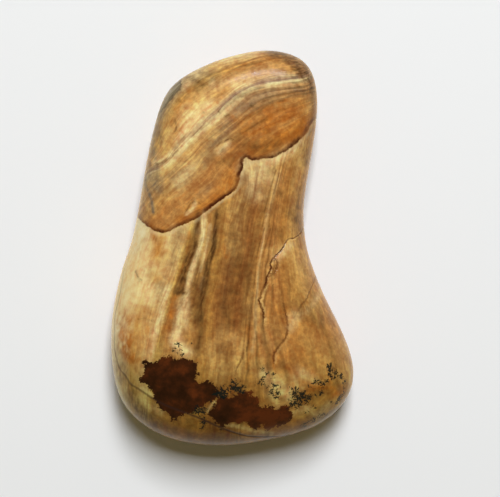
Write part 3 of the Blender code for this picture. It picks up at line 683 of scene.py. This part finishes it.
def surveyMesh(mesh):
    # for each point of the mesh: its place, where the camera sees it, its spot in the pattern, how far it
    # lies below the girdle, what is left there of marks that end on the sides, its normal, and how far it
    # faces up, by which a line on the steep sides is kept thin
    mesh.normal_update()
    places = np.array([vert.co for vert in mesh.verts]) / mm
    normals = np.array([vert.normal for vert in mesh.verts])
    seen = seenFromAbove(places)
    below = np.maximum(stone["girdle"] - places[:, 2], 0)
    return {
        "place": places,
        "seen": seen,
        "spot": seen + below[:, None] * np.array(stone["dip"]),
        "below": below,
        "fade": np.clip(1 - below / stone["markDepth"], 0, 1),
        "normal": normals,
        "facing": np.clip(np.abs(normals[:, 2]), stone["leastFacing"], 1),
    }


def smoothMarks(marks):
    return [(first, last, smoothLine(line)) for first, last, line in marks]


def outlines(lines):
    # closed lines given clockwise, as marks whose gap is positive inside
    return [(1, 1, smoothLine(line[::-1], closed=True)) for line in lines]


def nearestMark(spots, marks, reach=1.0, beyond=stone["far"]):
    # the signed gap to the nearest of some marks, and how strong that mark is there
    nearest, strength = np.full(len(spots), beyond), np.zeros(len(spots))
    for first, last, line in marks:
        close = np.flatnonzero(within(spots, line, reach))
        gap, along = measure(spots[close], line)
        closer = np.abs(gap) < np.abs(nearest[close])
        nearest[close[closer]] = gap[closer]
        share = along / np.hypot(*np.diff(line, axis=0).T).sum()
        strength[close[closer]] = (first + (last - first) * share)[closer]
    return nearest, strength


def nearestSpray(survey):
    # for each point, where it lies from the middle of the nearest spray, how far that one reaches there,
    # and its number. The sides count as laid out flat, so that no spray runs down them in streaks.
    places, normals, seen = survey["place"], survey["normal"], survey["seen"]
    steepness = np.hypot(*normals[:, :2].T).clip(stone["leastSlope"])
    outward = normals[:, :2] / np.where(survey["below"] > 0, steepness, 1)[:, None]
    laidFlat = seen + outward * (places[:, 2].max() - places[:, 2])[:, None]
    upper = np.flatnonzero(normals[:, 2] > 0)
    offsets, numbers = np.tile((stone["far"], stone["far"], 1.0), (len(places), 1)), np.zeros(len(places))
    least = np.where(survey["below"] < stone["markDepth"], stone["sprayEnd"], 0.0)
    flank, flankShare = stone["sprayFlank"]
    for number, (x, y, size, way, spread) in enumerate(sprays):
        under = upper[np.hypot(*(seen[upper] - (x, y)).T).argmin()]
        offset = laidFlat - laidFlat[under] + seen[under] - (x, y)
        turned = np.abs((np.degrees(np.arctan2(offset[:, 1], offset[:, 0])) - way + 180) % 360 - 180)
        reach = size * np.interp(turned, (spread / 2, spread / 2 + flank), (1, flankShare))
        share = np.hypot(*offset.T) / reach
        closer = share < least
        least[closer], numbers[closer] = share[closer], number
        offsets[closer] = np.column_stack((offset, reach))[closer]
    return offsets, numbers


def fitToBox(mesh):
    # takes back the little that the smoothing shrank the length and the width by
    places = np.array([vert.co for vert in mesh.vertices])
    box = np.array(cadBox) + np.array(((stone["inset"],), (-stone["inset"],))) * mm
    for i in (0, 1):
        places[:, i] = np.interp(places[:, i], (places[:, i].min(), places[:, i].max()), box[:, i])
    mesh.vertices.foreach_set("co", places.ravel())


def makeStoneMesh():
    # a finer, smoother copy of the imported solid
    mesh = bmesh.new()
    mesh.from_mesh(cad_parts["picture_jasper"].data)
    bmesh.ops.remove_doubles(mesh, verts=mesh.verts, dist=stone["mergeWithin"] * mm)
    bend, skew = map(math.radians, stone["quadAngles"])
    bmesh.ops.join_triangles(
        mesh, faces=mesh.faces, angle_face_threshold=bend, angle_shape_threshold=skew
    )
    data = bpy.data.meshes.new("pictureJasperCoarse")
    mesh.to_mesh(data)
    mesh.free()
    coarse = bpy.data.objects.new("pictureJasperCoarse", data)
    bpy.context.scene.collection.objects.link(coarse)
    smoother = coarse.modifiers.new("smoother", "SUBSURF")
    smoother.levels = smoother.render_levels = stone["subdivisions"]
    bpy.context.view_layer.update()
    evaluated = coarse.evaluated_get(bpy.context.evaluated_depsgraph_get())
    fine = bpy.data.meshes.new_from_object(evaluated)
    bpy.data.objects.remove(coarse)
    fitToBox(fine)
    fine.name = "picture_jasper_polished"
    return fine


def refineMesh(mesh):
    # halves the faces near the fine marks, so that these stay sharp: once at thin strokes, and twice at
    # the cracks and the seam
    limit = stone["thinStroke"]
    thin = [(1, 1, line) for marks in strokes.values() for _, width, line in marks if width < limit]
    fine = smoothMarks([*cracks, seam])
    for reach, marks in zip(stone["fineWithin"], (fine + smoothMarks(thin), fine)):
        survey = surveyMesh(mesh)
        gap, _ = nearestMark(survey["spot"], marks)
        near = (np.abs(gap) < reach) & (survey["below"] < stone["markDepth"])
        mesh.verts.ensure_lookup_table()
        edges = [e for e in mesh.edges if near[e.verts[0].index] and near[e.verts[1].index]]
        bmesh.ops.subdivide_edges(mesh, edges=edges, cuts=1, smooth=1.0, use_grid_fill=True)
        mesh.verts.index_update()


def layOutPattern(survey):
    # works out, at every point of the mesh, where it lies in the stone's pattern
    spots, heights = survey["spot"], survey["place"][:, 2]
    fields = {"capEdge": measure(spots, smoothLine(capEdge))[0]}
    for name, guides in (("capFlow", capGuides), ("bodyFlow", bodyGuides)):
        fields[name] = np.stack((*flow(spots, guides), heights), axis=1)
    for name, marks in (("crack", cracks), ("seam", [seam])):
        gap, strength = nearestMark(spots, smoothMarks(marks))
        fields[name] = gap / survey["facing"]
        fields[name + "Strength"] = strength * survey["fade"]
    gap, _ = nearestMark(spots, outlines(blotches), 2.5, -stone["far"])
    fields["blotch"] = gap - survey["below"] * stone["blotchDepth"]
    fields["greyPatch"], _ = nearestMark(survey["seen"], outlines([greyPatch]), 1.5, -stone["far"])
    fields["spray"], fields["sprayNumber"] = nearestSpray(survey)
    for name, marks in strokes.items():
        fields[name] = brush(spots, marks)
    fields["manganese"] *= np.clip((heights - stone["girdle"]) / stone["coreFade"], 0, 1)
    return fields


def cutGrooves(mesh, survey, fields):
    # presses the cracks, the seam and the chips into the surface
    depth = np.zeros(len(survey["spot"]))
    for name, (deep, wide) in stone["grooves"].items():
        depth += deep * fields[name + "Strength"] * np.exp(-((fields[name] / wide) ** 2))
    for x, y, radius in chips:
        away = np.hypot(*(survey["spot"] - (x, y)).T)
        depth += stone["chipDepth"] * survey["fade"] * np.exp(-((away / radius) ** 4))
    for vert, down in zip(mesh.verts, depth):
        if down > stone["leastPress"]:
            vert.co -= vert.normal * float(down) * mm


def storeField(data, name, values):
    # a number or a vector for each point of the mesh, for the material to read
    kind = "FLOAT" if values.ndim == 1 else "FLOAT_VECTOR"
    field = data.attributes.new(name, kind, "POINT")
    field.data.foreach_set("value" if values.ndim == 1 else "vector", values.astype(np.float32).ravel())


# The finish. Sizes and places are in mm. A span is where a coat starts and where it is full, and four
# numbers are such a span and the amounts at its two ends.
polish = {
    # noises that run through the whole rock: size, detail and roughness
    "noises": {
        "ragged": (1 / 2.2, 3.0, 0.5),
        "mottle": (1.9, 4.0, 0.62),
        "flecks": (0.7, 3.0, 0.5),
        "grain": (0.32, 2.0, 0.5),  # drawn coarser than the quartz's own grain, which is too fine to show
        "patchy": (1 / 0.7, 3.0, 0.5),
        "coarse": (1 / 1.3, 5.0, 0.7),
        "frayed": (1 / 5.5, 3.0, 0.6),
        "jagged": (1 / 3.5, 3.0, 0.5),
    },
    "span": (0.3, 0.7),  # where nearly all of a noise's values lie
    "patches": (0.35, 0.6, 0.45, 1.0),  # of stronger and weaker rim and cracks

    # the bedding: slow waves in it (size across, size along and shift), and streaks along it
    "waves": [(2.6, 9.0, 0.35), (0.7, 3.5, 0.16)],
    "waveSpan": (0.25, 0.75),
    "streaks": (0.28, 4.5),  # across and along
    "streakNoise": (4.0, 0.6),  # detail and roughness
    "lineBreaks": (2.0, 1 / 0.13),  # across and along
    "lineStrength": (0.35, 0.6, 0.2, 0.85),
    "lineFade": (9.0, 16.0, 0.0, 0.6),  # of the cap's lines, along them

    # stains over the bedding, from first to last: the noise breaks each up, and takes away some of it
    "stains": {
        "gold": {"colour": "#D6AC66", "breaks": (0.6, 2.5), "patchiness": 0.6},
        "slate": {"colour": "#6F6150", "breaks": (0.35, 2.2), "patchiness": 0.45},
        "ochre": {"colour": "#AE6826", "breaks": (0.7, 1.4), "patchiness": 0.7},
        "cream": {"colour": "#EACD92", "breaks": (0.4, 1.5), "patchiness": 0.5},
        "umber": {"colour": "#573A1C", "breaks": (0.3, 1.0), "patchiness": 0.5},
    },
    "stainSpan": (0.35, 0.62),
    "stainMost": 1.05,
    "apart": (7.3, 3.1, 0),  # from one stain's noise to the next one's

    # patterns that are overlaid: their span and their amount, weaker on the body's smooth left side
    "overlays": {
        "streaks": (0.34, 0.66, 0.32), "mottle": (0.36, 0.64, 0.25), "flecks": (0.36, 0.64, 0.27),
        "grain": (0.3, 0.7, 0.22),
    },
    "tints": [(0.0, "#94684A"), (0.5, "#B9BCBC"), (1.0, "#EEEBDC")],
    "smoothLeft": (-8.5, -5.5, 0.65, 1.0),

    # painted shade: lower down, the sides, which turn away from the light, are painted warmer and darker
    # than the top,
    #     # and the foot, which turns away from it too, duller, darker and more olive
    "sides": (7.6, 4.8, 0.0, 0.8),
    "sideShadeColour": "#FFEAAE",
    "foot": (-9.5, -16.5, 0.0, 1.0),
    "footShadeColour": "#D5D9C2",

    # the cap's ragged edge, and its rim: rusty orange that deepens to a dark maroon line, with a thin
    # pale line outside it, all fainter round the left side
    "capRagged": (-0.08, 0.08),
    "capSpan": (-0.03, 0.05),
    "rims": [
        ("#904C1B", [(-0.06, "#000000"), (0.06, "#DDDDDD"), (0.5, "#A0A0A0"), (1.4, "#000000")]),
        ("#3E190D", [(-0.06, "#000000"), (0.04, "#FFFFFF"), (0.20, "#F0F0F0"), (0.48, "#000000")]),
        ("#E2CB96", [(-0.5, "#000000"), (-0.22, "#AAAAAA"), (-0.10, "#AAAAAA"), (-0.03, "#000000")]),
    ],
    "rimFade": (-10.6, -9.2, 0.35, 1.0),

    # the grey-olive patch, with stripes and a dark edge
    "patchRagged": (-0.12, 0.12),
    "patchCover": (-0.04, 0.08, 0.0, 0.9),
    "patchStripes": [(0.30, "#4C412C"), (0.45, "#75664A"), (0.55, "#8F8064"), (0.70, "#A3967A")],
    "patchEdge": (0.16, 0.02, 0.0, 0.6),
    "patchEdgeColour": "#3E2C1A",

    # the iron blotches, redder to the right
    "blotchRagged": (-0.35, 0.35),
    "blotchFrayed": 0.7,
    "blotchSpan": (-0.03, 0.05),
    "rust": [(0.30, "#211006"), (0.45, "#2E1709"), (0.55, "#3A1C0B"), (0.70, "#55280F")],
    "redder": (-1.5, 4.5, 0.0, 0.18),

    # the manganese dendrites: how many arms, how frayed, and how they thin out from their middle
    "armDensity": 2.6,
    "sprayApart": 5.3,
    "armFrayed": 0.8,
    "armLimit": (0.0, 1.0, 0.70, 1.0),
    "armSpan": (0.0, 0.03),
    "coreFrayed": (0.35, 0.65, -0.5, 0.5),  # how much the cores' edge gives and takes
    "coreSpan": (0.6, 0.75),
    "dendriteCover": 0.94,
    "dendriteColour": "#101815",

    # the cracks: iron-dark on the upper side, in places pale on the lower one, and the seam. Both sides
    # are partly
    #     # the stone's colour and partly painted light: painted shade on the groove's upper wall, a
    #     painted highlight on its lower one
    "crackJagged": (-0.09, 0.09),
    "paleSideAndPaintedHighlight": (0.44, 0.58, 0.0, 0.95),
    "paleSideFrom": (0.55, 1.0),
    # each side's offset from the crack, how far it starts to show and is full from there, and its colour
    "crackSides": {"paleSideAndPaintedHighlight": (-0.22, 0.24, 0.05, "#DCAF68"), "patches": (0.03, 0.20, 0.05, "#4E240E")},
    "crackCover": 0.95,
    "seam": (0.22, 0.06, 0.0, 0.9),
    "seamColour": "#33201A",

    # the surface
    "roughness": (0.12, 0.26),
    "bump": 0.5,
    "bumpHeight": 0.02,
    "ior": 1.54,
    "specular": 0.06,
    "sheen": 0.32,
    "sheenRoughness": 0.4,
    "sheenTint": "#E9C684",
}


def bandColours(tree, value, bands):
    # colours laid out by millimetres
    low, high = bands[0][0], bands[-1][0]
    share = addNode(tree, "MapRange", (value, low, high, 0.0, 1.0))
    stops = [((place - low) / (high - low), code) for place, code in bands]
    return addNode(tree, "ValToRGB", [share], stops=stops)


def beddedNoise(tree, rock, size, detail, roughness=0.5, number=0):
    # a noise drawn out along the bedding, by its sizes across it and along it
    across, along = size
    offset = [number * step for step in polish["apart"]]
    spot = addNode(
        tree, "VectorMath", (rock["wavy"], (1 / across, 1 / along, 1 / along)), operation="MULTIPLY"
    )
    spot = addNode(tree, "VectorMath", (spot, offset), operation="ADD")
    sockets = {"Vector": spot, "Scale": 1.0, "Detail": detail, "Roughness": roughness}
    return addNode(tree, "TexNoise", sockets)


def readRock(tree):
    # what the coats are drawn from: places in mm, the fields on the mesh, the noises and the bedding
    place = addNode(tree, "TexCoord", out="Object")
    inMm = addNode(tree, "VectorMath", {0: place, 3: 1 / mm}, operation="SCALE")
    rock = {name: addNode(tree, "SeparateXYZ", [inMm], out=i) for i, name in enumerate("xyz")}
    for name in (
        "capEdge", "seam", "seamStrength", "crack", "crackStrength", "blotch", "greyPatch", "sprayNumber",
        *strokes,
    ):
        rock[name] = addNode(tree, "Attribute", attribute_name=name, out="Fac")
    for name in ("capFlow", "bodyFlow", "spray"):
        rock[name] = addNode(tree, "Attribute", attribute_name=name, out="Vector")
    for name, (size, detail, roughness) in polish["noises"].items():
        sockets = {"Vector": inMm, "Scale": 1 / size, "Detail": detail, "Roughness": roughness}
        rock[name] = addNode(tree, "TexNoise", sockets)
    rock["patches"] = addNode(tree, "MapRange", (rock["patchy"], *polish["patches"]))

    # the cap's edge, and the bedding on each side of it
    edge = addNode(tree, "MapRange", (rock["ragged"], *polish["span"], *polish["capRagged"]))
    rock["edge"] = addNode(tree, "Math", (rock["capEdge"], edge), operation="ADD")
    rock["inCap"] = addNode(
        tree, "MapRange", (rock["edge"], *polish["capSpan"]), interpolation_type="SMOOTHSTEP"
    )
    rock["bedding"] = addNode(
        tree, "Mix", {0: rock["inCap"], 4: rock["bodyFlow"], 5: rock["capFlow"]}, out=1,
        data_type="VECTOR",
    )
    shifts = []
    for across, along, shift in polish["waves"]:
        scale = (1 / across, 1 / along, 2 / along)
        scaled = addNode(tree, "VectorMath", (rock["bedding"], scale), operation="MULTIPLY")
        waves = addNode(tree, "TexNoise", {"Vector": scaled, "Scale": 1.0, "Detail": 2.0})
        shifts.append(addNode(tree, "MapRange", (waves, *polish["waveSpan"], -shift, shift)))
    shift = addNode(tree, "Math", shifts, operation="ADD")
    slide = addNode(tree, "CombineXYZ", [shift])
    rock["wavy"] = addNode(tree, "VectorMath", (rock["bedding"], slide), operation="ADD")
    detail, roughness = polish["streakNoise"]
    rock["streaks"] = beddedNoise(tree, rock, polish["streaks"], detail, roughness)
    for name, ramps in (
        ("bands", {"bodyFlow": bodyBands, "capFlow": capBands}),
        ("lines", {"bodyFlow": bodyLines, "capFlow": capLines}),
    ):
        sides = []
        for flowing, ramp in ramps.items():
            across = addNode(tree, "SeparateXYZ", [rock[flowing]])
            across = addNode(tree, "Math", (across, shift), operation="ADD")
            sides.append(bandColours(tree, across, ramp))
        sockets = {0: rock["inCap"], 6: sides[0], 7: sides[1]}
        rock[name] = addNode(tree, "Mix", sockets, out=2, data_type="RGBA")
    return rock


# Each coat is how much of it lies where, its colour, and how it goes over the coats before it
def stainCoats(tree, rock):
    for number, (name, facts) in enumerate(polish["stains"].items()):
        breaks = beddedNoise(tree, rock, facts["breaks"], 3.0, number=number)
        span = (*polish["stainSpan"], 1 - facts["patchiness"], polish["stainMost"])
        breaks = addNode(tree, "MapRange", (breaks, *span))
        amount = addNode(tree, "Math", (rock[name], breaks), operation="MULTIPLY", use_clamp=True)
        yield amount, hexColour(facts["colour"]), "MIX"


def lineCoat(tree, rock):
    # the fine lines fade in and out along the bedding
    amount = beddedNoise(tree, rock, polish["lineBreaks"], 2.0)
    amount = addNode(tree, "MapRange", (amount, *polish["lineStrength"]))
    along = addNode(tree, "SeparateXYZ", [rock["capFlow"]], out=1)
    fade = addNode(tree, "MapRange", (along, *polish["lineFade"]))
    fade = addNode(tree, "Math", (fade, rock["inCap"]), operation="MULTIPLY")
    fade = addNode(tree, "Math", (1.0, fade), operation="SUBTRACT")
    yield addNode(tree, "Math", (amount, fade), operation="MULTIPLY"), rock["lines"], "OVERLAY"


def grainCoats(tree, rock):
    across = addNode(tree, "SeparateXYZ", [rock["bedding"]])
    rough = addNode(tree, "MapRange", (across, *polish["smoothLeft"]))
    for name, (low, high, most) in polish["overlays"].items():
        level = addNode(tree, "MapRange", (rock[name], low, high, 0.0, 1.0))
        tint = addNode(tree, "ValToRGB", [level], stops=polish["tints"])
        yield addNode(tree, "Math", (rough, most), operation="MULTIPLY"), tint, "OVERLAY"


def paintedSideShadeCoat(tree, rock):
    # painted shade: lower down the steep sides, the colour is painted warmer and darker
    amount = addNode(tree, "MapRange", (rock["z"], *polish["sides"]), interpolation_type="SMOOTHSTEP")
    yield amount, hexColour(polish["sideShadeColour"]), "MULTIPLY"


def patchCoats(tree, rock):
    stripes = addNode(tree, "ValToRGB", [rock["streaks"]], stops=polish["patchStripes"])
    gap = addNode(tree, "MapRange", (rock["ragged"], *polish["span"], *polish["patchRagged"]))
    gap = addNode(tree, "Math", (rock["greyPatch"], gap), operation="ADD")
    yield addNode(tree, "MapRange", (gap, *polish["patchCover"])), stripes, "MIX"
    gap = addNode(tree, "Math", [gap], operation="ABSOLUTE")
    amount = addNode(tree, "MapRange", (gap, *polish["patchEdge"]))
    yield amount, hexColour(polish["patchEdgeColour"]), "MIX"


def rimCoats(tree, rock):
    fading = addNode(tree, "MapRange", (rock["x"], *polish["rimFade"]))
    fading = addNode(tree, "Math", (fading, rock["patches"]), operation="MULTIPLY")
    for code, fades in polish["rims"]:
        amount = bandColours(tree, rock["edge"], fades)
        yield addNode(tree, "Math", (amount, fading), operation="MULTIPLY"), hexColour(code), "MIX"


def paintedFootShadeCoat(tree, rock):
    # painted shade: towards the foot, the colour is painted duller, darker and more olive
    amount = addNode(tree, "MapRange", (rock["y"], *polish["foot"]), interpolation_type="SMOOTHSTEP")
    yield amount, hexColour(polish["footShadeColour"]), "MULTIPLY"


def blotchCoat(tree, rock):
    gap = addNode(tree, "MapRange", (rock["coarse"], *polish["span"], *polish["blotchRagged"]))
    gap = addNode(tree, "Math", (rock["frayed"], polish["blotchFrayed"], gap), operation="MULTIPLY_ADD")
    gap = addNode(tree, "Math", (gap, polish["blotchFrayed"] / 2), operation="SUBTRACT")
    gap = addNode(tree, "Math", (rock["blotch"], gap), operation="ADD")
    amount = addNode(tree, "MapRange", (gap, *polish["blotchSpan"]), interpolation_type="SMOOTHSTEP")
    redder = addNode(tree, "MapRange", (rock["x"], *polish["redder"]))
    redder = addNode(tree, "Math", (rock["mottle"], redder), operation="ADD")
    yield amount, addNode(tree, "ValToRGB", [redder], stops=polish["rust"]), "MIX"


def dendriteCoat(tree, rock):
    # sprays of spiky arms round their middles, and solid cores
    flat = addNode(tree, "VectorMath", (rock["spray"], (1, 1, 0)), operation="MULTIPLY")
    away = addNode(tree, "VectorMath", [flat], out="Value", operation="LENGTH")
    around = addNode(tree, "VectorMath", [flat], operation="NORMALIZE")
    around = addNode(tree, "VectorMath", {0: around, 3: polish["armDensity"]}, operation="SCALE")
    apart = (rock["sprayNumber"], polish["sprayApart"], away)
    apart = addNode(tree, "CombineXYZ", {2: addNode(tree, "Math", apart, operation="MULTIPLY_ADD")})
    around = addNode(tree, "VectorMath", (around, apart), operation="ADD")
    arms = addNode(tree, "TexNoise", {"Vector": around, "Scale": 1.0, "Detail": 2.0})
    arms = addNode(tree, "Math", (rock["frayed"], polish["armFrayed"], arms), operation="MULTIPLY_ADD")
    reach = addNode(tree, "SeparateXYZ", [rock["spray"]], out=2)
    share = addNode(tree, "Math", (away, reach), operation="DIVIDE")
    limit = addNode(tree, "MapRange", (share, *polish["armLimit"]), clamp=False)
    arms = addNode(tree, "Math", (arms, limit), operation="SUBTRACT")
    arms = addNode(tree, "MapRange", (arms, *polish["armSpan"]), interpolation_type="SMOOTHSTEP")
    cores = addNode(tree, "MapRange", (rock["frayed"], *polish["coreFrayed"]))
    cores = addNode(tree, "Math", (rock["manganese"], cores), operation="ADD")
    cores = addNode(tree, "MapRange", (cores, *polish["coreSpan"]), interpolation_type="SMOOTHSTEP")
    amount = addNode(tree, "Math", (arms, cores), operation="MAXIMUM")
    amount = addNode(tree, "Math", (amount, polish["dendriteCover"]), operation="MULTIPLY")
    yield amount, hexColour(polish["dendriteColour"]), "MIX"


def crackCoats(tree, rock):
    jagged = addNode(tree, "MapRange", (rock["jagged"], *polish["span"], *polish["crackJagged"]))
    jagged = addNode(tree, "Math", (rock["crack"], jagged), operation="ADD")
    paleSideAndPaintedHighlight = addNode(tree, "MapRange", (rock["mottle"], *polish["paleSideAndPaintedHighlight"]))
    paleSideShare = addNode(tree, "MapRange", (rock["crackStrength"], *polish["paleSideFrom"]))
    paleSideAndPaintedHighlight = addNode(tree, "Math", (paleSideAndPaintedHighlight, paleSideShare), operation="MULTIPLY")
    shares = {"paleSideAndPaintedHighlight": paleSideAndPaintedHighlight, "patches": rock["patches"]}
    # the dark upper side is partly painted shade, and the pale lower side partly a painted highlight, of
    # the groove's walls
    for name, (offset, outer, inner, code) in polish["crackSides"].items():
        away = addNode(tree, "Math", (jagged, offset), operation="ADD")
        away = addNode(tree, "Math", [away], operation="ABSOLUTE")
        amount = addNode(tree, "MapRange", (away, outer, inner, 0.0, polish["crackCover"]))
        for share in (shares[name], rock["crackStrength"]):
            amount = addNode(tree, "Math", (amount, share), operation="MULTIPLY")
        yield amount, hexColour(code), "MIX"
    away = addNode(tree, "Math", [rock["seam"]], operation="ABSOLUTE")
    amount = addNode(tree, "MapRange", (away, *polish["seam"]))
    amount = addNode(tree, "Math", (amount, rock["seamStrength"]), operation="MULTIPLY")
    yield amount, hexColour(polish["seamColour"]), "MIX"


def polishedJasper():
    # Picture jasper: opaque fine-grained quartz, tumbled and polished. The eye gets a soft waxy gloss
    # over banded tan, brown and cream, with dark iron blotches and black manganese dendrites.
    material = bpy.data.materials.new("polishedPictureJasper")
    material.use_nodes = True
    tree = material.node_tree
    tree.nodes.clear()
    rock = readRock(tree)
    colour = rock["bands"]
    for coats in (
        stainCoats, lineCoat, grainCoats, paintedSideShadeCoat, patchCoats, rimCoats, paintedFootShadeCoat, blotchCoat,
        dendriteCoat, crackCoats,
    ):
        for amount, over, way in coats(tree, rock):
            sockets = {0: amount, 6: colour, 7: over}
            colour = addNode(tree, "Mix", sockets, out=2, data_type="RGBA", blend_type=way)
    roughness = addNode(tree, "MapRange", (rock["flecks"], *polish["span"], *polish["roughness"]))
    uneven = addNode(tree, "Math", (rock["streaks"], rock["flecks"]), operation="ADD")
    shader = addNode(tree, "BsdfPrincipled", {
        "Base Color": colour,
        "Roughness": roughness,
        "Normal": addNode(tree, "Bump", {
            "Strength": polish["bump"], "Distance": polish["bumpHeight"] * mm, "Height": uneven,
        }),
        "IOR": polish["ior"],
        "Specular IOR Level": polish["specular"],
        "Sheen Weight": polish["sheen"],
        "Sheen Roughness": polish["sheenRoughness"],
        "Sheen Tint": hexColour(polish["sheenTint"]),
    })
    output = tree.nodes.new("ShaderNodeOutputMaterial")
    tree.links.new(shader, output.inputs["Surface"])
    return material


def makeStone():
    data = makeStoneMesh()
    mesh = bmesh.new()
    mesh.from_mesh(data)
    refineMesh(mesh)
    print("stone refined:", len(mesh.verts), "points")
    survey = surveyMesh(mesh)
    fields = layOutPattern(survey)
    cutGrooves(mesh, survey, fields)
    mesh.to_mesh(data)
    mesh.free()
    for name, values in fields.items():
        storeField(data, name, values)
    data.shade_smooth()
    data.materials.clear()
    data.materials.append(polishedJasper())
    piece = bpy.data.objects.new("picture_jasper_polished", data)
    bpy.context.scene.collection.objects.link(piece)
    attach(piece, "root")
    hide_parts("picture_jasper")
    print("stone made:", sum(len(face.vertices) - 2 for face in data.polygons), "triangles")


# The floor, in metres
floorFacts = {"halfWidth": 1.5, "colour": "#EDEDED", "roughness": 0.9, "specular": 0.1}


def makeFloor():
    # Matt white paint on board: an even pale ground with hardly any gloss
    mesh = bmesh.new()
    bmesh.ops.create_grid(mesh, x_segments=1, y_segments=1, size=floorFacts["halfWidth"])
    data = bpy.data.meshes.new("floor")
    mesh.to_mesh(data)
    mesh.free()
    material = bpy.data.materials.new("paleMattPaint")
    material.use_nodes = True
    shader = material.node_tree.nodes["Principled BSDF"]
    shader.inputs["Base Color"].default_value = hexColour(floorFacts["colour"])
    shader.inputs["Roughness"].default_value = floorFacts["roughness"]
    shader.inputs["Specular IOR Level"].default_value = floorFacts["specular"]
    data.materials.append(material)
    floor = bpy.data.objects.new("floor", data)
    bpy.context.scene.collection.objects.link(floor)
    print("floor made")


# A broad soft light from beyond the stone's head, a window that only its polish reflects, and a dim sky.
# Sizes and distances are in metres, and power in watts.
light = {
    "lamps": {
        "skylight": {"size": (0.13, 0.25), "azimuth": 81, "elevation": 64, "distance": 0.55, "power": 3.2},
        "window": {"size": (0.36, 0.09), "azimuth": 80, "elevation": 35, "distance": 0.60, "power": 5.6},
    },
    "colour": "#F5F9FF",
    "skyStrength": 0.14,
    "skyColour": "#FFEDB0",  # warm light that the room gives back into the shadows
}


def aimedPlace(azimuth, elevation, distance):
    azimuth, elevation = math.radians(azimuth), math.radians(elevation)
    flat = math.cos(elevation) * distance
    return Vector((math.cos(azimuth) * flat, math.sin(azimuth) * flat, math.sin(elevation) * distance))


def makeLights():
    for name, facts in light["lamps"].items():
        lamp = bpy.data.lights.new(name, "AREA")
        lamp.shape = "RECTANGLE"
        lamp.size, lamp.size_y = facts["size"]
        lamp.energy = facts["power"]
        lamp.color = hexColour(light["colour"])[:3]
        holder = bpy.data.objects.new(name, lamp)
        holder.location = aimedPlace(facts["azimuth"], facts["elevation"], facts["distance"])
        holder.rotation_euler = (-holder.location).to_track_quat("-Z", "Y").to_euler()
        holder.visible_glossy = name == "window"
        holder.visible_diffuse = name == "skylight"
        bpy.context.scene.collection.objects.link(holder)
    world = bpy.data.worlds.new("studio")
    world.use_nodes = True
    world.node_tree.nodes["Background"].inputs["Color"].default_value = hexColour(light["skyColour"])
    world.node_tree.nodes["Background"].inputs["Strength"].default_value = light["skyStrength"]
    bpy.context.scene.world = world
    print("lights made")


def makeCamera():
    eye = bpy.data.cameras.new("camera")
    eye.lens = view["lens"]
    eye.sensor_width = view["sensor"]
    eye.clip_start = 1 * mm
    holder = bpy.data.objects.new("camera", eye)
    holder.location = Vector((*view["over"], view["height"])) * mm
    bpy.context.scene.collection.objects.link(holder)
    bpy.context.scene.camera = holder
    print("camera made")


makeStone()
makeFloor()
makeLights()
makeCamera()
bpy.context.scene.view_settings.view_transform = "Standard"
